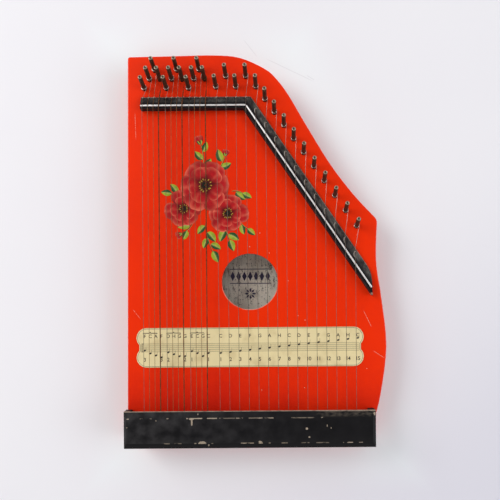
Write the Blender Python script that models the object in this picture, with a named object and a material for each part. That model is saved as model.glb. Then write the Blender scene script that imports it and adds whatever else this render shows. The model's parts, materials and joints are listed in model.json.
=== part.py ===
"""Chord zither: a flat lacquered box with 12 chord strings and 15 melody strings.

The layout of the strings drives the rest. The rods, the bridges, the tuning pins and the hitch pins
are placed from the strings, and the outline of the body keeps its margins to the pins and strings.
+X is the treble side, +Y the head with the tuning pins, +Z up. The back lies on Z = 0.
"""

import math

import bmesh
import bpy
import numpy as np
from mathutils import Matrix, Vector

MM = 0.001

# Clearances
SEAT_GAP = 0.3 * MM  # between two pieces that rest on or beside each other
TURN_GAP = 0.3 * MM  # round a piece that turns in a hole

# Strings, seen from above
CHORD_GROUPS = 3
CHORD_STRINGS = 4  # in a group, of which the last is the wound bass string
MELODY_STRINGS = 15
STRAIGHT_MELODY = 4  # melody strings whose pins stand beside the chord pins
FIRST_STRING_X = -132.9 * MM
CHORD_PITCH = 6.55 * MM
GROUP_PITCH = 27.7 * MM
CHORD_TO_MELODY = 14.85 * MM
MELODY_TAIL_PITCH = 11.5 * MM
MELODY_HEAD_PITCH = 11.66 * MM
MELODY_HEAD_SHIFT = -2.2 * MM  # the first melody string leans this far towards the chords
STRAIGHT_ROD_Y = 170.6 * MM
STRING_LENGTH = 371.6 * MM  # from the straight rod to the tail rod
SLOPE_ANGLE = math.radians(55.84)  # of the sloping rod below the X axis

# Wires
PLAIN_RADIUS = 0.25 * MM
WOUND_RADIUS = 0.6 * MM
WINDING_TURNS = 2.25
WINDING_STEP = 1.0 * MM  # from one turn to the next, along the pin
WINDING_START = 1.9 * MM  # above the soundboard, along the pin
CURL_POINTS = 8  # points in one turn
FUSE_DEPTH = 0.15 * MM  # how far a plain chord string sinks into the rod that carries it

# Tuning pins
PIN_RADIUS = 2.5 * MM
PIN_ABOVE = 22.3 * MM
PIN_BELOW = 17.0 * MM
PIN_LEAN_BACK = math.radians(14.0)
PIN_LEAN_SIDE = math.radians(2.8)
PIN_FLAT = 2.1 * MM  # from the axis to each of the four flats for the tuning key
PIN_FLAT_LENGTH = 9.0 * MM
PIN_FLAT_RUNOUT = 1.5 * MM
PIN_CHAMFER = 0.5 * MM
PIN_DIMPLE_RADIUS = 1.1 * MM
PIN_DIMPLE_DEPTH = 0.7 * MM
PIN_SIDES = 12
PIN_HOLE_SIDES = 10
PIN_HOLE_END = 1.0 * MM  # free depth under the pin
LOW_ROW = 23.4 * MM  # from the straight rod to the nearest row of chord pins
ROW_PITCH = 11.0 * MM
CHORD_PIN_SHIFT = 1.15 * MM
CHORD_PIN_SPREAD = 0.96  # the chord pins stand a little closer than their strings
MELODY_LOW_ROW = 24.6 * MM
MELODY_HIGH_ROW = 37.1 * MM
MELODY_PIN_SHIFT = -0.8 * MM  # from the first melody string to its pin
MELODY_PIN_PITCH = 11.95 * MM  # as far as the first pin behind the sloping rod
SLOPE_PIN_PITCH = 10.7 * MM  # across the body, for the pins after that one
SLOPE_PIN_WIDEN = 0.125 * MM  # the pitch grows towards the treble side
SLOPE_PIN_NEAR = 42.2 * MM  # from the sloping rod to the first pin behind it, along Y
SLOPE_PIN_GAIN = 0.85 * MM  # more for each pin after it

# Bridges and rods
ROD_RADIUS = 1.0 * MM
ROD_SIDES = 12
ROD_OVER_CREST = 0.2 * MM  # from a bridge's crest up to the axis of its rod
BRIDGE_HEIGHT = 8.5 * MM
BRIDGE_STRING_SIDE = 3.6 * MM  # from the straight rod to the steep face
BRIDGE_PIN_SIDE = 12.3 * MM  # from the straight rod to the low edge by the pins
SLOPE_STRING_SIDE = 4.4 * MM  # the same two for the sloping rod
SLOPE_PIN_SIDE = 11.8 * MM
BRIDGE_LOW_EDGE = 2.5 * MM
BRIDGE_CREST_FLAT = 1.8 * MM  # from the rod to where the slope starts
BRIDGE_BASS_END = 2.6 * MM  # past the first string
BRIDGE_TREBLE_END = 20.2 * MM  # past the last string
BRIDGE_TIP_ROUND = 34.0 * MM
ROD_TREBLE_END = 18.9 * MM  # past the last string
TAIL_BRIDGE_FRONT = 3.5 * MM  # from the tail rod
TAIL_BRIDGE_BACK = 6.0 * MM
TAIL_BRIDGE_LOW_EDGE = 3.5 * MM
TAIL_BRIDGE_END = 12.0 * MM  # past the first and the last string

# Hitch pins, in two rows behind the tail rod
HITCH_RADIUS = 0.9 * MM
HITCH_SIDES = 8
HITCH_HEIGHT = 4.2 * MM
HITCH_ROW_NEAR = 13.5 * MM
HITCH_ROW_STEP = 6.0 * MM
HITCH_WIRE_HEIGHT = 2.0 * MM
HOOK_END = 3.0 * MM

# Body
BACK_THICKNESS = 3.0 * MM
RIM_HEIGHT = 31.4 * MM
BOARD_THICKNESS = 3.0 * MM
SIDE_THICKNESS = 6.0 * MM
BASS_MARGIN = 22.6 * MM  # from the first string to the bass side at the tail
HEAD_TAPER = 3.5 * MM  # the bass side leans in this far at the head
HEAD_FROM_ROD = 63.9 * MM  # from the straight rod to the top of the head
HEAD_DROP = 1.5 * MM  # from the top of the head to its bass corner
HEAD_CORNER_ROUND = 3.0 * MM
KNEE_DROP = 3.3 * MM  # where the head starts to fall to the shoulder
KNEE_SHIFT = -6.7 * MM
PEAK_SHIFT = -3.8 * MM  # from the first melody string to the top of the head
# A guide line behind the sloping rod, in the middle of its pins
SHOULDER_SHIFT = 2.0 * MM  # across, from the first and the last sloping string
SHOULDER_NEAR = 39.9 * MM  # from the sloping rod along Y, at the first of them
SHOULDER_FAR = 49.2 * MM  # and at the last
# The shoulder: how far along the guide line, and the margin from it to the edge
SHOULDER = (
    (-0.083, 23.8 * MM),
    (0.010, 27.9 * MM),
    (0.130, 28.1 * MM),
    (0.339, 24.0 * MM),
    (0.608, 19.8 * MM),
    (0.841, 20.9 * MM),
)
TREBLE_CORNER_RISE = 7.5 * MM  # above the end of the guide line
TREBLE_CORNER_ROUND = 10.0 * MM
# The treble side: how far down from the corner to the straight end, and the margin to the last string
TREBLE_SIDE = (
    (0.0, 28.6 * MM),
    (0.149, 26.9 * MM),
    (0.25, 27.9 * MM),
    (0.389, 33.0 * MM),
    (0.629, 38.6 * MM),
    (0.868, 31.3 * MM),
    (1.0, 23.1 * MM),
)
TAIL_DEPTH = 33.0 * MM  # behind the tail rod
TAIL_STRAIGHT = 28.0 * MM
SPAN_STEPS = 4
CORNER_STEPS = 4
EDGE_ROUND = 2.0 * MM
EDGE_ROUND_STEPS = 2
BACK_EDGE_ROUND = 0.8 * MM

BLOCK_MARGIN = 4.1 * MM  # the pin block reaches this far in front of the top bridge
TAIL_BLOCK_FRONT = 11.0 * MM  # from the tail rod to the front of the tail block
TAIL_BLOCK_LEDGE = 3.5 * MM  # from the tail rod to the end of the soundboard
SOUNDHOLE_RADIUS = 33.6 * MM
SOUNDHOLE_FROM_ROD = 208.6 * MM
SOUNDHOLE_FROM_FIRST = 125.8 * MM
SOUNDHOLE_SIDES = 48
BRACE_WIDTH = 8.0 * MM
BRACE_HEIGHT = 16.0 * MM
BRACE_FROM_HOLE = 14.0 * MM

# Note strip
STRIP_SHARE = 0.7731  # of the strings' length, from the straight rod to the strip's middle
STRIP_MARGIN = 10.8 * MM
STRIP_WIDTH = 47.4 * MM
STRIP_THICKNESS = 0.4 * MM
STRIP_LOBE_RADIUS = 12.0 * MM
LOBE_STEPS = 7

# Hitch pin cover
COVER_HEIGHT = 18.0 * MM
COVER_FRONT = 10.6 * MM  # in front of the tail rod
COVER_BASS_OVERHANG = 0.7 * MM
COVER_TREBLE_INSET = 1.5 * MM
COVER_FRONT_BEVEL = 7.8 * MM
COVER_TAIL_BEVEL = 4.6 * MM
COVER_END_BEVEL = 3.8 * MM
COVER_BEVEL_DROP = 3.4 * MM
COVER_ROOF = 2.6 * MM
COVER_WALL = 5.0 * MM
COVER_END_WALL = 7.0 * MM
COVER_LIP = 1.6 * MM
DOWEL_RADIUS = 2.0 * MM
DOWEL_LENGTH = 8.0 * MM
DOWEL_FROM_TAIL = 10.0 * MM
DOWEL_SIDES = 12

# Heights and places that follow from the sizes above
RIM_BOTTOM = BACK_THICKNESS + SEAT_GAP
RIM_TOP = RIM_BOTTOM + RIM_HEIGHT
BOARD_BOTTOM = RIM_TOP + SEAT_GAP
BOARD_TOP = BOARD_BOTTOM + BOARD_THICKNESS
BRIDGE_BOTTOM = BOARD_TOP + SEAT_GAP
CREST_Z = BRIDGE_BOTTOM + BRIDGE_HEIGHT
ROD_Z = CREST_Z + ROD_OVER_CREST
TAIL_ROD_Y = STRAIGHT_ROD_Y - STRING_LENGTH
TAIL_Y = TAIL_ROD_Y - TAIL_DEPTH
PIN_AXIS = Vector((-math.tan(PIN_LEAN_SIDE), math.tan(PIN_LEAN_BACK), 1.0)).normalized()
PIN_U = (Vector((1.0, 0.0, 0.0)) - PIN_AXIS * PIN_AXIS.x).normalized()
PIN_V = PIN_AXIS.cross(PIN_U)
UP = Vector((0.0, 0.0, 1.0))
ACROSS = Vector((1.0, 0.0))
SLOPE_WAY = Vector((math.cos(SLOPE_ANGLE), -math.sin(SLOPE_ANGLE)))
BEND_WAY = (ACROSS + SLOPE_WAY).normalized()  # square to the mitre between the two rods
SLOPE = math.tan(SLOPE_ANGLE)
SLOPE_NORMAL = Vector((math.sin(SLOPE_ANGLE), math.cos(SLOPE_ANGLE)))


# Materials


def material(name, colour, roughness, metallic=0.0):
    """A Principled material with one colour."""
    made = bpy.data.materials.new(name)
    made.use_nodes = True
    shader = made.node_tree.nodes["Principled BSDF"]
    shader.inputs["Base Color"].default_value = (*colour, 1.0)
    shader.inputs["Roughness"].default_value = roughness
    shader.inputs["Metallic"].default_value = metallic
    return made


# Objects and Booleans


def collection(name, hidden=False):
    """A new collection in the scene. A hidden one holds the cutters."""
    made = bpy.data.collections.new(name)
    made.hide_render = hidden
    bpy.context.scene.collection.children.link(made)
    return made


def add(name, data, into, finish=None):
    """A new object in a collection, with its material."""
    made = bpy.data.objects.new(name, data)
    into.objects.link(made)
    if finish and not data.materials:
        data.materials.append(finish)
    return made


def cutter(name, mesh, into):
    """A hidden object that only shapes others."""
    made = add(name, mesh, into)
    made.hide_render = True
    made.display_type = "WIRE"
    return made


def combine(piece, other, operation):
    """A Boolean of a piece with a cutter."""
    modifier = piece.modifiers.new(operation.title(), "BOOLEAN")
    modifier.operation = operation
    modifier.object = other
    modifier.solver = "EXACT"


def cut(piece, mesh, cutters):
    """Takes a mesh out of a piece."""
    combine(piece, cutter(mesh.name, mesh, cutters), "DIFFERENCE")


def fuse(piece, mesh, cutters):
    """Joins a mesh to a piece."""
    combine(piece, cutter(mesh.name, mesh, cutters), "UNION")


def mesh_from(bm, name):
    """The mesh of a finished bmesh."""
    mesh = bpy.data.meshes.new(name)
    bm.normal_update()
    bm.to_mesh(mesh)
    bm.free()
    return mesh


def curve_as_mesh(curve, name):
    """The closed mesh of a curve, its caps welded to its sides."""
    holder = bpy.data.objects.new(name, curve)
    bpy.context.scene.collection.objects.link(holder)
    graph = bpy.context.evaluated_depsgraph_get()
    mesh = bpy.data.meshes.new_from_object(holder.evaluated_get(graph))
    bpy.data.objects.remove(holder)
    bpy.data.curves.remove(curve)
    bm = bmesh.new()
    bm.from_mesh(mesh)
    bmesh.ops.remove_doubles(bm, verts=bm.verts, dist=0.001 * MM)
    bm.to_mesh(mesh)
    bm.free()
    mesh.name = name
    return mesh


def plate(name, outline, bottom, top):
    """A flat outline as a closed mesh between two heights."""
    curve = bpy.data.curves.new(name, "CURVE")
    curve.dimensions = "2D"
    curve.fill_mode = "BOTH"
    curve.extrude = (top - bottom) / 2
    spline = curve.splines.new("POLY")
    spline.points.add(len(outline) - 1)
    spline.use_cyclic_u = True
    for point, (x, y) in zip(spline.points, outline):
        point.co = (x, y, 0.0, 1.0)
    mesh = curve_as_mesh(curve, name)
    mesh.transform(Matrix.Translation((0.0, 0.0, (top + bottom) / 2)))
    return mesh


def round_edges(mesh, height, radius, steps, keep_sharp=None):
    """Rounds the edges of a plate at one height, but for those that keep_sharp names by their middle."""
    bm = bmesh.new()
    bm.from_mesh(mesh)
    edges = [
        edge
        for edge in bm.edges
        if all(abs(vert.co.z - height) < 0.01 * MM for vert in edge.verts)
        and edge.calc_face_angle(0.0) > 1.0
        and not (keep_sharp and keep_sharp((edge.verts[0].co + edge.verts[1].co) / 2))
    ]
    bmesh.ops.bevel(bm, geom=edges, offset=radius, segments=steps, profile=0.5, affect="EDGES")
    bm.to_mesh(mesh)
    bm.free()


def lofted(name, loops):
    """A closed mesh through loops of points, one after the other."""
    bm = bmesh.new()
    rings = [[bm.verts.new(point) for point in loop] for loop in loops]
    for ring, following in zip(rings, rings[1:]):
        for k in range(len(ring)):
            after = (k + 1) % len(ring)
            bm.faces.new((ring[k], ring[after], following[after], following[k]))
    bm.faces.new(rings[0])
    bm.faces.new(rings[-1])
    bmesh.ops.recalc_face_normals(bm, faces=bm.faces)
    return mesh_from(bm, name)


def swept(name, section, places, cuts):
    """A section carried level through places, and cut square to the ways in cuts at ends and bends.

    The section's points are the distance to the left of the way, and the height.
    """
    loops = []
    for k, (place, cut_way) in enumerate(zip(places, cuts)):
        way = (places[max(k, 1)] - places[max(k, 1) - 1]).normalized()
        left = Vector((-cut_way.y, cut_way.x))
        stretch = 1 / left.dot(Vector((-way.y, way.x)))
        loops.append([(*(place + left * stretch * side), z) for side, z in section])
    return lofted(name, loops)


def bar(name, section, low_x, high_x):
    """A section of Y and Z carried along X."""
    return swept(name, section, [Vector((low_x, 0.0)), Vector((high_x, 0.0))], [ACROSS, ACROSS])


def box(name, low, high):
    """A box between two corners."""
    low, high = Vector(low), Vector(high)
    bm = bmesh.new()
    size = Matrix.Diagonal((*(high - low), 1.0))
    bmesh.ops.create_cube(bm, size=1.0, matrix=Matrix.Translation((low + high) / 2) @ size)
    return mesh_from(bm, name)


def cylinders(name, places, radius, sides):
    """One mesh of closed cylinders. A place is the middle of the bottom, the direction and the length."""
    bm = bmesh.new()
    for bottom, direction, length in places:
        turn = direction.to_track_quat("Z", "Y").to_matrix().to_4x4()
        middle = Matrix.Translation(bottom + direction * length / 2) @ turn
        bmesh.ops.create_cone(
            bm, cap_ends=True, segments=sides, radius1=radius, radius2=radius, depth=length, matrix=middle
        )
    return mesh_from(bm, name)


def wedge(name, line_point, across, height, drop, run, reach):
    """A box whose lower face starts at a height on a line and falls by drop over run, along across."""
    tilt = math.atan2(drop, run)
    along = Vector((-across.y, across.x, 0.0))
    down = Vector((across.x, across.y, 0.0)) * math.cos(tilt) - Vector((0.0, 0.0, math.sin(tilt)))
    normal = down.cross(along)
    if normal.z < 0:
        normal = -normal
        along = -along
    frame = Matrix((down, along, normal)).transposed().to_4x4()
    bm = bmesh.new()
    bmesh.ops.create_cube(bm, size=1.0, matrix=Matrix.Diagonal((reach, reach, reach / 4, 1.0)))
    bmesh.ops.translate(bm, vec=(0.0, 0.0, reach / 8), verts=bm.verts)
    start = Vector((line_point[0], line_point[1], height))
    bmesh.ops.transform(bm, matrix=Matrix.Translation(start) @ frame, verts=bm.verts)
    return mesh_from(bm, name)


# Plane curves


def spline_through(points, steps):
    """Points on a smooth curve through the given ones, by Catmull and Rom's rule with open ends."""
    knots = np.array([tuple(point) for point in points])
    before = np.vstack([2 * knots[0] - knots[1], knots[:-1]])
    after = np.vstack([knots[1:], 2 * knots[-1] - knots[-2]])
    slopes = (after - before) / 2
    t = np.linspace(0.0, 1.0, steps, endpoint=False)[:, None]
    spans = [
        (2 * t**3 - 3 * t**2 + 1) * knots[i]
        + (t**3 - 2 * t**2 + t) * slopes[i]
        + (3 * t**2 - 2 * t**3) * knots[i + 1]
        + (t**3 - t**2) * slopes[i + 1]
        for i in range(len(knots) - 1)
    ]
    return [Vector(point) for point in np.vstack([*spans, knots[-1:]])]


def rounded_corner(before, corner, after, radius, steps):
    """Points of the arc that rounds a corner between two straight runs."""
    to_before = (before - corner).normalized()
    to_after = (after - corner).normalized()
    half = to_before.angle(to_after) / 2
    centre = corner + (to_before + to_after).normalized() * (radius / math.sin(half))
    start = corner + to_before * (radius / math.tan(half)) - centre
    end = corner + to_after * (radius / math.tan(half)) - centre
    turn = -start.angle_signed(end)
    return [centre + Matrix.Rotation(turn * k / steps, 2) @ start for k in range(steps + 1)]


def crossing(run, level):
    """The point where a run comes down through a level of Y, and how many of its points lie before it."""
    for i in range(len(run) - 1, 0, -1):
        above, below = run[i - 1], run[i]
        if above.y >= level > below.y:
            share = (above.y - level) / (above.y - below.y)
            return above.lerp(below, share), i
    raise ValueError("the run doesn't cross this level")


# Where the strings and pins are


def chord_string_x(group, place):
    return FIRST_STRING_X + group * GROUP_PITCH + place * CHORD_PITCH


LAST_CHORD_X = chord_string_x(CHORD_GROUPS - 1, CHORD_STRINGS - 1)
MELODY_TAIL_X = LAST_CHORD_X + CHORD_TO_MELODY
MELODY_HEAD_X = MELODY_TAIL_X + MELODY_HEAD_SHIFT


def melody_head_x(index):
    return MELODY_HEAD_X + index * MELODY_HEAD_PITCH


def melody_tail_x(index):
    return MELODY_TAIL_X + index * MELODY_TAIL_PITCH


# The two rods meet under the last of the straight melody strings
ROD_CORNER = Vector((melody_head_x(STRAIGHT_MELODY - 1), STRAIGHT_ROD_Y))
LAST_STRING_X = max(melody_head_x(MELODY_STRINGS - 1), melody_tail_x(MELODY_STRINGS - 1))


def rod_y(x):
    """Y of the straight or the sloping rod at a place across the body."""
    return STRAIGHT_ROD_Y - max(0.0, x - ROD_CORNER.x) * SLOPE


def chord_pin(group, place):
    """Where the axis of a chord pin passes the top of the soundboard. Rows go low, middle, high, middle."""
    from_first = chord_string_x(group, place) - FIRST_STRING_X
    x = FIRST_STRING_X + CHORD_PIN_SHIFT + from_first * CHORD_PIN_SPREAD
    row = (0, 1, 2, 1)[place % 4]
    return Vector((x, STRAIGHT_ROD_Y + LOW_ROW + row * ROW_PITCH))


def melody_pin(index):
    """Where the axis of a melody pin passes the top of the soundboard."""
    sloping = max(0, index - STRAIGHT_MELODY)
    x = MELODY_HEAD_X + MELODY_PIN_SHIFT + (index - sloping) * MELODY_PIN_PITCH
    x += sloping * (SLOPE_PIN_PITCH + sloping * SLOPE_PIN_WIDEN)
    if index < STRAIGHT_MELODY:
        row = MELODY_HIGH_ROW if index % 2 else MELODY_LOW_ROW
        return Vector((x, STRAIGHT_ROD_Y + row))
    return Vector((x, rod_y(x) + SLOPE_PIN_NEAR + sloping * SLOPE_PIN_GAIN))


def chord_order():
    """Group and place of each chord string, from the bass side."""
    return [(group, place) for group in range(CHORD_GROUPS) for place in range(CHORD_STRINGS)]


def all_pins():
    """The places of all pins from the bass side, first the chords' and then the melody's."""
    return [chord_pin(*string) for string in chord_order()] + [melody_pin(k) for k in range(MELODY_STRINGS)]


def pin_base(place):
    """Where a pin's axis passes the top of the soundboard."""
    return Vector((place.x, place.y, BOARD_TOP))


# The body's outline


def bass_x(y):
    """X of the bass side, which leans in towards the head."""
    tail_x = FIRST_STRING_X - BASS_MARGIN
    return tail_x + HEAD_TAPER * (y - TAIL_Y) / (HEAD_Y - TAIL_Y)


HEAD_Y = STRAIGHT_ROD_Y + HEAD_FROM_ROD


def shoulder_guide():
    """Both ends of the line that the shoulder keeps its margins to."""
    ends = []
    for index, behind in ((STRAIGHT_MELODY, SHOULDER_NEAR), (MELODY_STRINGS - 1, SHOULDER_FAR)):
        x = melody_head_x(index) + SHOULDER_SHIFT
        ends.append(Vector((x, rod_y(x) + behind)))
    return ends


def head_to_tail():
    """The edge from the bass corner of the head, over the shoulder and down the treble side."""
    first, last = shoulder_guide()
    along = last - first
    outward = Vector((-along.y, along.x)).normalized()
    shoulder = [first + along * share + outward * margin for share, margin in SHOULDER]
    corner = Vector((LAST_STRING_X + TREBLE_SIDE[0][1], last.y + TREBLE_CORNER_RISE))
    side_end = TAIL_Y + TAIL_STRAIGHT
    side = [
        Vector((LAST_STRING_X + margin, corner.y + (side_end - corner.y) * share))
        for share, margin in TREBLE_SIDE
    ]
    bass_corner = Vector((bass_x(HEAD_Y), HEAD_Y - HEAD_DROP))
    peak = Vector((MELODY_HEAD_X + PEAK_SHIFT, HEAD_Y))
    knee = Vector((ROD_CORNER.x + KNEE_SHIFT, HEAD_Y - KNEE_DROP))
    rise = bass_corner.lerp(peak, 0.5)
    head = spline_through([bass_corner, rise, peak, knee, *shoulder, corner], SPAN_STEPS)
    flank = spline_through(side, SPAN_STEPS)
    bass_tail = Vector((bass_x(TAIL_Y), TAIL_Y))
    start = rounded_corner(bass_tail, head[0], head[1], HEAD_CORNER_ROUND, CORNER_STEPS)
    bend = rounded_corner(head[-2], corner, flank[1], TREBLE_CORNER_ROUND, CORNER_STEPS)
    head_end = [point for point in head[1:-1] if (point - corner).length > (bend[0] - corner).length]
    flank_start = [point for point in flank[1:] if (point - corner).length > (bend[-1] - corner).length]
    tail_corner = Vector((flank_start[-1].x, TAIL_Y))
    return [*start, *head_end, *bend, *flank_start, tail_corner]


EDGE = head_to_tail()
HEAD_POINTS = CORNER_STEPS + 1


def body_outline(tail):
    """The whole outline of the body down to a level of Y."""
    treble = EDGE if tail <= TAIL_Y else [*EDGE[: crossing(EDGE, tail)[1]], crossing(EDGE, tail)[0]]
    return [Vector((bass_x(tail), tail)), *treble]


def edge_between(top, bottom):
    """The treble side's edge between two levels of Y."""
    start, first = crossing(EDGE, top)
    if bottom <= TAIL_Y:
        return [start, *EDGE[first:]]
    end, last = crossing(EDGE, bottom)
    return [start, *EDGE[first:last], end]


def moved_in(run, distance):
    """A run of edge points moved to the left of the way down, by a wall's thickness."""
    points = np.array([tuple(point) for point in run])
    ways = np.gradient(points, axis=0)
    ways /= np.linalg.norm(ways, axis=1)[:, None]
    inward = np.stack([ways[:, 1], -ways[:, 0]], axis=1)
    return [Vector(point) for point in points + inward * distance]


# The pin block's inner edge runs in front of the top bridge
BLOCK_INSET = BRIDGE_STRING_SIDE + BLOCK_MARGIN


def beside_rods(distance):
    """The corner of the line that follows both rods at a distance, positive towards the pins."""
    y = STRAIGHT_ROD_Y + distance
    x = ROD_CORNER.x + (distance - distance * SLOPE_NORMAL.y) / SLOPE_NORMAL.x
    return Vector((x, y))


def slope_x(distance, y):
    """X of the line that follows the sloping rod at a distance, at a level of Y."""
    corner = beside_rods(distance)
    return corner.x + (corner.y - y) / SLOPE


def pin_block_end():
    """The level where the pin block has narrowed to the thickness of the side."""
    level = shoulder_guide()[1].y
    while crossing(EDGE, level)[0].x - slope_x(-BLOCK_INSET, level) > 1.6 * SIDE_THICKNESS:
        level -= 1.0 * MM
    return level


BLOCK_END_Y = pin_block_end()
BLOCK_FRONT_Y = STRAIGHT_ROD_Y - BLOCK_INSET
TAIL_FRONT_Y = TAIL_ROD_Y + TAIL_BLOCK_FRONT
BOARD_END_Y = TAIL_ROD_Y + TAIL_BLOCK_LEDGE
HOLE_CENTRE = Vector((FIRST_STRING_X + SOUNDHOLE_FROM_FIRST, STRAIGHT_ROD_Y - SOUNDHOLE_FROM_ROD))


# The body's pieces


def pin_hole_cutter(into):
    """The blind holes of all tuning pins, through the soundboard and into the pin block."""
    depth = PIN_BELOW + PIN_HOLE_END
    length = depth + BOARD_THICKNESS
    radius = (PIN_RADIUS + TURN_GAP) / math.cos(math.pi / PIN_HOLE_SIDES)
    places = [(pin_base(place) - PIN_AXIS * depth, PIN_AXIS, length) for place in all_pins()]
    return cutter("pin_holes", cylinders("pin_holes", places, radius, PIN_HOLE_SIDES), into)


def build_soundboard(parts, cutters, holes, finish):
    """The soundboard ends under the cover, in front of the hitch pins."""
    mesh = plate("soundboard", body_outline(BOARD_END_Y), BOARD_BOTTOM, BOARD_TOP)
    round_edges(
        mesh, BOARD_TOP, EDGE_ROUND, EDGE_ROUND_STEPS, lambda middle: middle.y < BOARD_END_Y + 0.1 * MM
    )
    board = add("soundboard", mesh, parts, finish)
    combine(board, holes, "DIFFERENCE")
    bottom = Vector((*HOLE_CENTRE, BOARD_BOTTOM - BOARD_THICKNESS))
    hole = [(bottom, UP, 3 * BOARD_THICKNESS)]
    cut(board, cylinders("soundhole", hole, SOUNDHOLE_RADIUS, SOUNDHOLE_SIDES), cutters)


def build_back(parts, finish):
    mesh = plate("back_board", body_outline(TAIL_Y), 0.0, BACK_THICKNESS)
    round_edges(mesh, 0.0, BACK_EDGE_ROUND, 1)
    add("back_board", mesh, parts, finish)


def build_pin_block(parts, holes, finish):
    """The block fills the head and tapers along the shoulder, in front of the bridge on its inner side."""
    end, last = crossing(EDGE, BLOCK_END_Y)
    outline = [
        Vector((bass_x(BLOCK_FRONT_Y), BLOCK_FRONT_Y)),
        *EDGE[:last],
        end,
        Vector((slope_x(-BLOCK_INSET, BLOCK_END_Y), BLOCK_END_Y)),
        beside_rods(-BLOCK_INSET),
    ]
    block = add("pin_block", plate("pin_block", outline, RIM_BOTTOM, RIM_TOP), parts, finish)
    combine(block, holes, "DIFFERENCE")


def build_sides(parts, finish):
    """A straight bass side and a bent treble side, between the two blocks."""
    top, bottom = BLOCK_FRONT_Y - SEAT_GAP, TAIL_FRONT_Y + SEAT_GAP
    bass = [
        Vector((bass_x(bottom), bottom)),
        Vector((bass_x(top), top)),
        Vector((bass_x(top) + SIDE_THICKNESS, top)),
        Vector((bass_x(bottom) + SIDE_THICKNESS, bottom)),
    ]
    add("bass_side", plate("bass_side", bass, RIM_BOTTOM, RIM_TOP), parts, finish)
    outer = edge_between(BLOCK_END_Y - SEAT_GAP, bottom)
    inner = moved_in(outer, SIDE_THICKNESS)
    inner[0].y = outer[0].y
    inner[-1].y = outer[-1].y
    add("treble_side", plate("treble_side", [*outer, *reversed(inner)], RIM_BOTTOM, RIM_TOP), parts, finish)


def hitch_places():
    """Tail X of each string, and the place of its hitch pin, in two rows by turns."""
    tails = [chord_string_x(group, place) for group, place in chord_order()]
    tails += [melody_tail_x(index) for index in range(MELODY_STRINGS)]
    offset = HITCH_RADIUS + SEAT_GAP + PLAIN_RADIUS
    places = []
    for index, x in enumerate(tails):
        row = HITCH_ROW_NEAR + (index % 2) * HITCH_ROW_STEP
        places.append((x, Vector((x - offset, TAIL_ROD_Y - row))))
    return places


def dowel_places():
    """The middle of each of the cover's dowels, in the middle of its end walls."""
    low, high = cover_ends()
    y = TAIL_Y + DOWEL_FROM_TAIL
    return [Vector((low + COVER_END_WALL / 2, y)), Vector((high - COVER_END_WALL / 2, y))]


def build_tail_block(parts, cutters, finish):
    """The block has a step for the soundboard, the hitch pins, and two holes for the cover's dowels."""
    front = TAIL_FRONT_Y
    bass = [Vector((bass_x(TAIL_Y), TAIL_Y)), Vector((bass_x(front), front))]
    outline = [*bass, *edge_between(front, TAIL_Y)]
    block = add("tail_block", plate("tail_block", outline, RIM_BOTTOM, BOARD_TOP), parts, finish)
    low = (bass_x(front) - 10 * MM, BOARD_END_Y - SEAT_GAP, RIM_TOP)
    high = (LAST_STRING_X + 2 * TREBLE_SIDE[0][1], front + 10 * MM, BOARD_TOP + 10 * MM)
    cut(block, box("board_step", low, high), cutters)
    length = BOARD_TOP - RIM_TOP + HITCH_HEIGHT
    hitches = [(Vector((*place, RIM_TOP)), UP, length) for _, place in hitch_places()]
    fuse(block, cylinders("hitch_pins", hitches, HITCH_RADIUS, HITCH_SIDES), cutters)
    radius = (DOWEL_RADIUS + SEAT_GAP) / math.cos(math.pi / DOWEL_SIDES)
    depth = DOWEL_LENGTH + SEAT_GAP
    wells = [(Vector((*place, BOARD_TOP - depth)), UP, depth + BOARD_THICKNESS) for place in dowel_places()]
    cut(block, cylinders("dowel_wells", wells, radius, DOWEL_SIDES), cutters)


def build_braces(parts, finish):
    """Two braces across the body, glued under the soundboard on either side of the soundhole."""
    reach = SOUNDHOLE_RADIUS + BRACE_FROM_HOLE
    for name, y in (("brace_upper", HOLE_CENTRE.y + reach), ("brace_lower", HOLE_CENTRE.y - reach)):
        ends = []
        for level in (y - BRACE_WIDTH / 2, y + BRACE_WIDTH / 2):
            wall = edge_between(level + 5 * MM, level - 5 * MM)
            side = min(point.x for point in moved_in(wall, SIDE_THICKNESS))
            block = slope_x(-BLOCK_INSET, level) - SEAT_GAP / SLOPE_NORMAL.x
            treble = min(side - SEAT_GAP, block) if level > BLOCK_END_Y else side - SEAT_GAP
            ends.append((bass_x(level) + SIDE_THICKNESS + SEAT_GAP, treble, level))
        (low_bass, low_treble, low_y), (high_bass, high_treble, high_y) = ends
        outline = [(low_bass, low_y), (high_bass, high_y), (high_treble, high_y), (low_treble, low_y)]
        top = BOARD_BOTTOM - SEAT_GAP
        add(name, plate(name, outline, top - BRACE_HEIGHT, top), parts, finish)


# Bridges and rods


def rod_section(radius):
    """A round section at the rods' height."""
    angles = [2 * math.pi * k / ROD_SIDES for k in range(ROD_SIDES)]
    return [(radius * math.cos(angle), ROD_Z + radius * math.sin(angle)) for angle in angles]


def bridge_section(steep_side, low_side, low_edge):
    """The section of a bridge under a rod: steep on one side, falling on the other, with a groove."""
    radius = (ROD_RADIUS + SEAT_GAP) / math.cos(math.pi / ROD_SIDES)
    first = math.asin(ROD_OVER_CREST / radius)
    angles = np.linspace(first, math.pi - first, ROD_SIDES // 2 + 1)
    groove = [(radius * math.cos(angle), ROD_Z - radius * math.sin(angle)) for angle in angles]
    return [
        (-steep_side, BRIDGE_BOTTOM),
        (low_side, BRIDGE_BOTTOM),
        (low_side, BRIDGE_BOTTOM + low_edge),
        (BRIDGE_CREST_FLAT, CREST_Z),
        *groove,
        (-steep_side, CREST_Z),
    ]


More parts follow.
